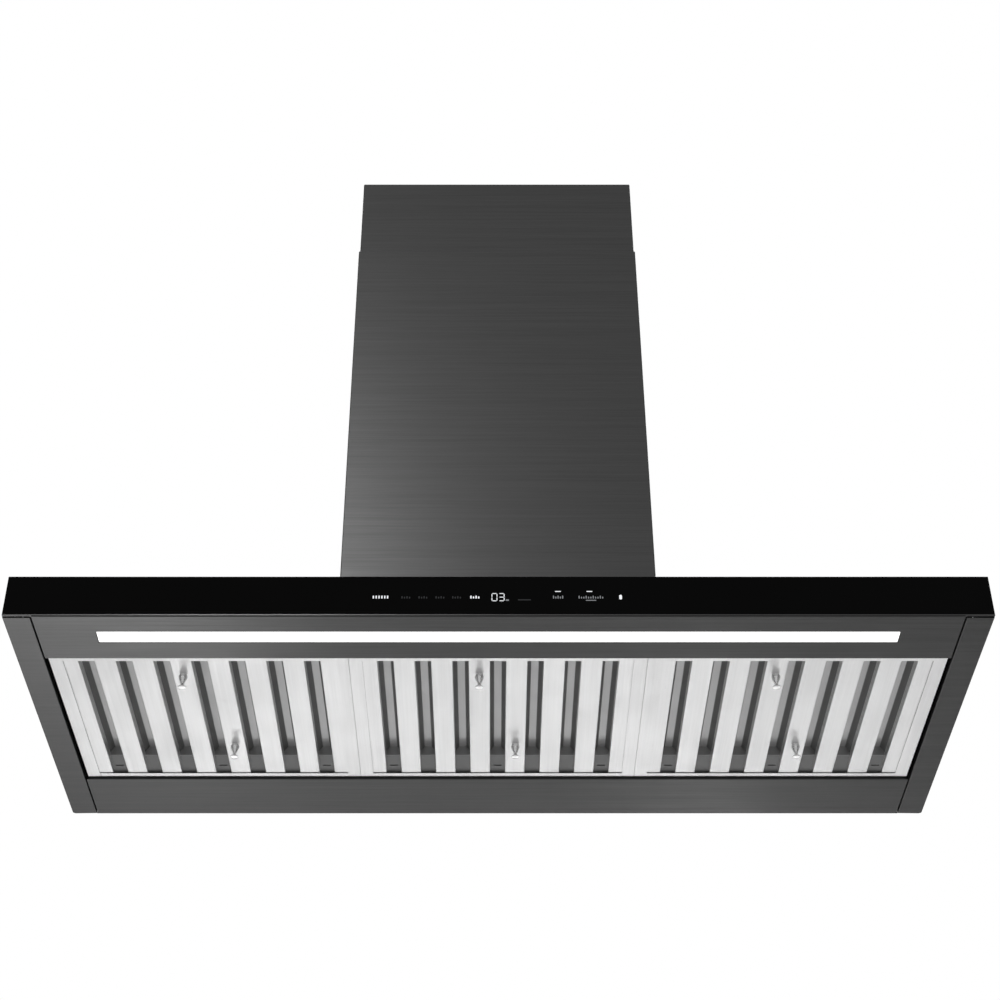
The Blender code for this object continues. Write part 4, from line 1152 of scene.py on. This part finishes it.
def build_screws():
    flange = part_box("duct_collar")[0].z + SPIGOT_FLANGE
    angles = [math.tau * (step + 0.5) / 8 for step in range(8)]
    ring = [(SPIGOT_RING * math.cos(angle), SPIGOT_RING * math.sin(angle), flange)
            for angle in angles]
    screws("spigot_screws", ring, "Z", 1, SCREW_RADIUS, "hood")
    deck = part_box("canopy_top_panel")[1].z
    inner, outer = DECK_SCREW_X
    edge = [(x, y, deck) for y in (-DECK_SCREW_Y, DECK_SCREW_Y)
            for x in (-outer, -inner, inner, outer)]
    edge += [(-outer, 0.0, deck), (outer, 0.0, deck)]
    screws("deck_screws", edge, "Z", 1, DECK_SCREW_RADIUS, "hood")
    lower_low, lower_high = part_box("lower_chimney_cover")
    upper_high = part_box("upper_chimney_cover")[1]
    seam = [(x, lower_high.y, lower_low.z + 0.022 + RIVET_PITCH * step)
            for x in (-RIVET_HALF_GAP, RIVET_HALF_GAP) for step in range(4)]
    screws("lower_seam_rivets", seam, "Y", 1, RIVET_RADIUS, "hood")
    for side, sign, x in (("left", -1, lower_low.x), ("right", 1, lower_high.x)):
        pair = (-SLEEVE_SCREW_Y, SLEEVE_SCREW_Y)
        foot = [(x, y, lower_low.z + 0.016) for y in pair]
        screws(f"sleeve_screws_{side}", foot, "X", sign, SCREW_RADIUS, "hood")
        head = [(upper_high.x * sign, y, upper_high.z - 0.018) for y in pair]
        screws(f"ceiling_screws_{side}", head, "X", sign, SCREW_RADIUS, "ceiling_mount")


def latch_spring(side):
    """Round wire wound on a helix along Y, its ends capped, squashed as the bolt is pulled."""
    node = f"latch_spring_{side}"
    low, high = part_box(node)
    middle = (low + high) / 2
    put_down()
    bpy.ops.mesh.primitive_circle_add(vertices=10, radius=WIRE_RADIUS,
                                      location=(COIL_RADIUS, 0.0, 0.0))
    spring = settle(f"latch_coil_{side}")
    run = high.y - low.y - 2 * WIRE_RADIUS
    apply(spring, "SCREW", axis="Y", angle=math.tau, steps=20, render_steps=20,
          iterations=COIL_TURNS, screw_offset=run / COIL_TURNS)
    choose(spring, "EDGE", lambda edge: edge.is_boundary)
    bpy.ops.mesh.fill_holes(sides=10)
    outward(spring)
    open_all(spring, "VERT")
    bpy.ops.transform.translate(value=(middle.x, low.y + WIRE_RADIUS, middle.z))
    put_down()
    shade(spring)
    finish_piece(spring, f"filter_{side}", "spring_steel", node)
    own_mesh(spring)


# ---- studio

def build_world():
    """White to the eye; to the metal a grey room with dark sides and a bright ceiling."""
    world = bpy.data.worlds.new("studio")
    bpy.context.scene.world = world
    world.use_nodes = True
    tree = world.node_tree
    tree.nodes.clear()
    out = tree.nodes.new("ShaderNodeOutputWorld")
    seen = tree.nodes.new("ShaderNodeBackground")
    seen.inputs["Color"].default_value = (1.0, 1.0, 1.0, 1.0)
    lit = tree.nodes.new("ShaderNodeBackground")
    place = tree.nodes.new("ShaderNodeTexCoord")
    split = tree.nodes.new("ShaderNodeSeparateXYZ")
    tree.links.new(place.outputs["Generated"], split.inputs[0])
    aside = math_node(tree, "ABSOLUTE", split.outputs["X"])
    room = map_range(tree, aside, (0.42, 0.90), (0.68, 0.16), "SMOOTHSTEP")
    ceiling = map_range(tree, split.outputs["Z"], (0.96, 0.998), (0.0, 0.4), "SMOOTHSTEP")
    tree.links.new(math_node(tree, "ADD", room, ceiling), lit.inputs["Strength"])
    rays = tree.nodes.new("ShaderNodeLightPath")
    mix = tree.nodes.new("ShaderNodeMixShader")
    tree.links.new(rays.outputs["Is Camera Ray"], mix.inputs["Fac"])
    tree.links.new(lit.outputs["Background"], mix.inputs[1])
    tree.links.new(seen.outputs["Background"], mix.inputs[2])
    tree.links.new(mix.outputs["Shader"], out.inputs["Surface"])


def build_floor():
    put_down()
    bpy.ops.mesh.primitive_plane_add(size=24.0, location=(0.0, 0.0, FLOOR_LEVEL))
    floor = settle("studio_floor")
    look = Look("studio_floor", roughness=0.8)
    cloud = look.group(groups["pebble"], Scale=30.0)
    look.colours(cloud["Tone"], grey(0.82), grey(0.84))
    floor.data.materials.append(look.material)


def add_light(name, place, target, size, power):
    data = bpy.data.lights.new(name, "AREA")
    data.shape = "RECTANGLE"
    data.size, data.size_y = size
    data.energy = power
    light = bpy.data.objects.new(name, data)
    bpy.context.scene.collection.objects.link(light)
    light.location = place
    light.rotation_euler = (Vector(target) - Vector(place)).to_track_quat("-Z", "Y").to_euler()
    light.visible_camera = False
    return light


def build_studio():
    build_world()
    build_floor()
    for x, y, power in ((-1.00, 3.4, 15.0), (0.50, 3.7, 11.0), (1.40, 3.3, 6.0)):
        add_light("floor_wash", (x, y, -2.1), (x, y, FLOOR_LEVEL), (0.9, 0.9), power)
    data = bpy.data.cameras.new("camera")
    data.lens = 68.825
    data.shift_x = 0.0096
    camera = bpy.data.objects.new("camera", data)
    bpy.context.scene.collection.objects.link(camera)
    camera.location = (-0.0098, -2.2008, -2.1724)
    camera.rotation_euler = (math.radians(127.256), 0.0, 0.0)
    bpy.context.scene.camera = camera
    bpy.context.scene.view_settings.view_transform = "Standard"


def light_only(label, pieces, lights):
    """Soft lights that fall on some pieces only; each is name, place, target, size and power."""
    lit = bpy.data.collections.new(label)
    for piece in pieces:
        lit.objects.link(piece)
    for light in lights:
        add_light(*light).light_linking.receiver_collection = lit


def light_pieces():
    """Glows on the dark steel, and large lights behind and beside the whole hood, not the floor."""
    dark = ("lower_sleeve", "upper_sleeve", "end_rail_left", "end_rail_right", "front_pan",
            "rear_pan", "top_skin", "back_skin", "glass_trim")
    light_only("dark_steel_pieces", [bpy.data.objects[name] for name in dark], (
        ("chimney_light_low", (-0.49, -1.35, -0.22), (-0.25, -0.15, -0.80), (0.16, 0.20), 4.0),
        ("chimney_light_middle", (-0.50, -1.35, 0.20), (-0.25, -0.15, -0.60), (0.16, 0.30), 2.0),
        ("chimney_light_high", (-0.50, -1.35, 0.60), (-0.25, -0.15, -0.36), (0.16, 0.30), 0.45),
        ("under_light_left", (-1.08, 0.20, -1.6), (-0.60, -0.45, -0.87), (1.60, 0.40), 5.5),
        ("under_light_rear", (0.41, 1.19, -1.39), (0.285, 0.22, -0.87), (0.15, 0.15), 0.20),
        ("under_light_wide", (0.0, 1.50, -2.1), (0.0, -0.1, -0.87), (2.00, 1.00), 0.34),
    ))
    hood = [piece for piece in bpy.context.scene.objects
            if piece.type == "MESH" and piece.name != "studio_floor"]
    light_only("hood_pieces", hood, (
        ("rear_top_light", (0.0, 2.6, 2.2), (0.0, 0.0, -0.5), (2.6, 2.2), 100.0),
        ("side_light_left", (-3.4, 0.9, 0.3), (-0.2, 0.0, -0.45), (1.8, 1.6), 40.0),
        ("side_light_right", (3.4, 0.9, 0.3), (0.2, 0.0, -0.45), (1.8, 1.6), 40.0),
    ))


build_studio()
build_chimney()
build_canopy()
build_front()
build_lamp()
build_display()
build_filters()
build_blower()
build_screws()
for side in SIDES:
    latch_spring(side)
light_pieces()
put_down()
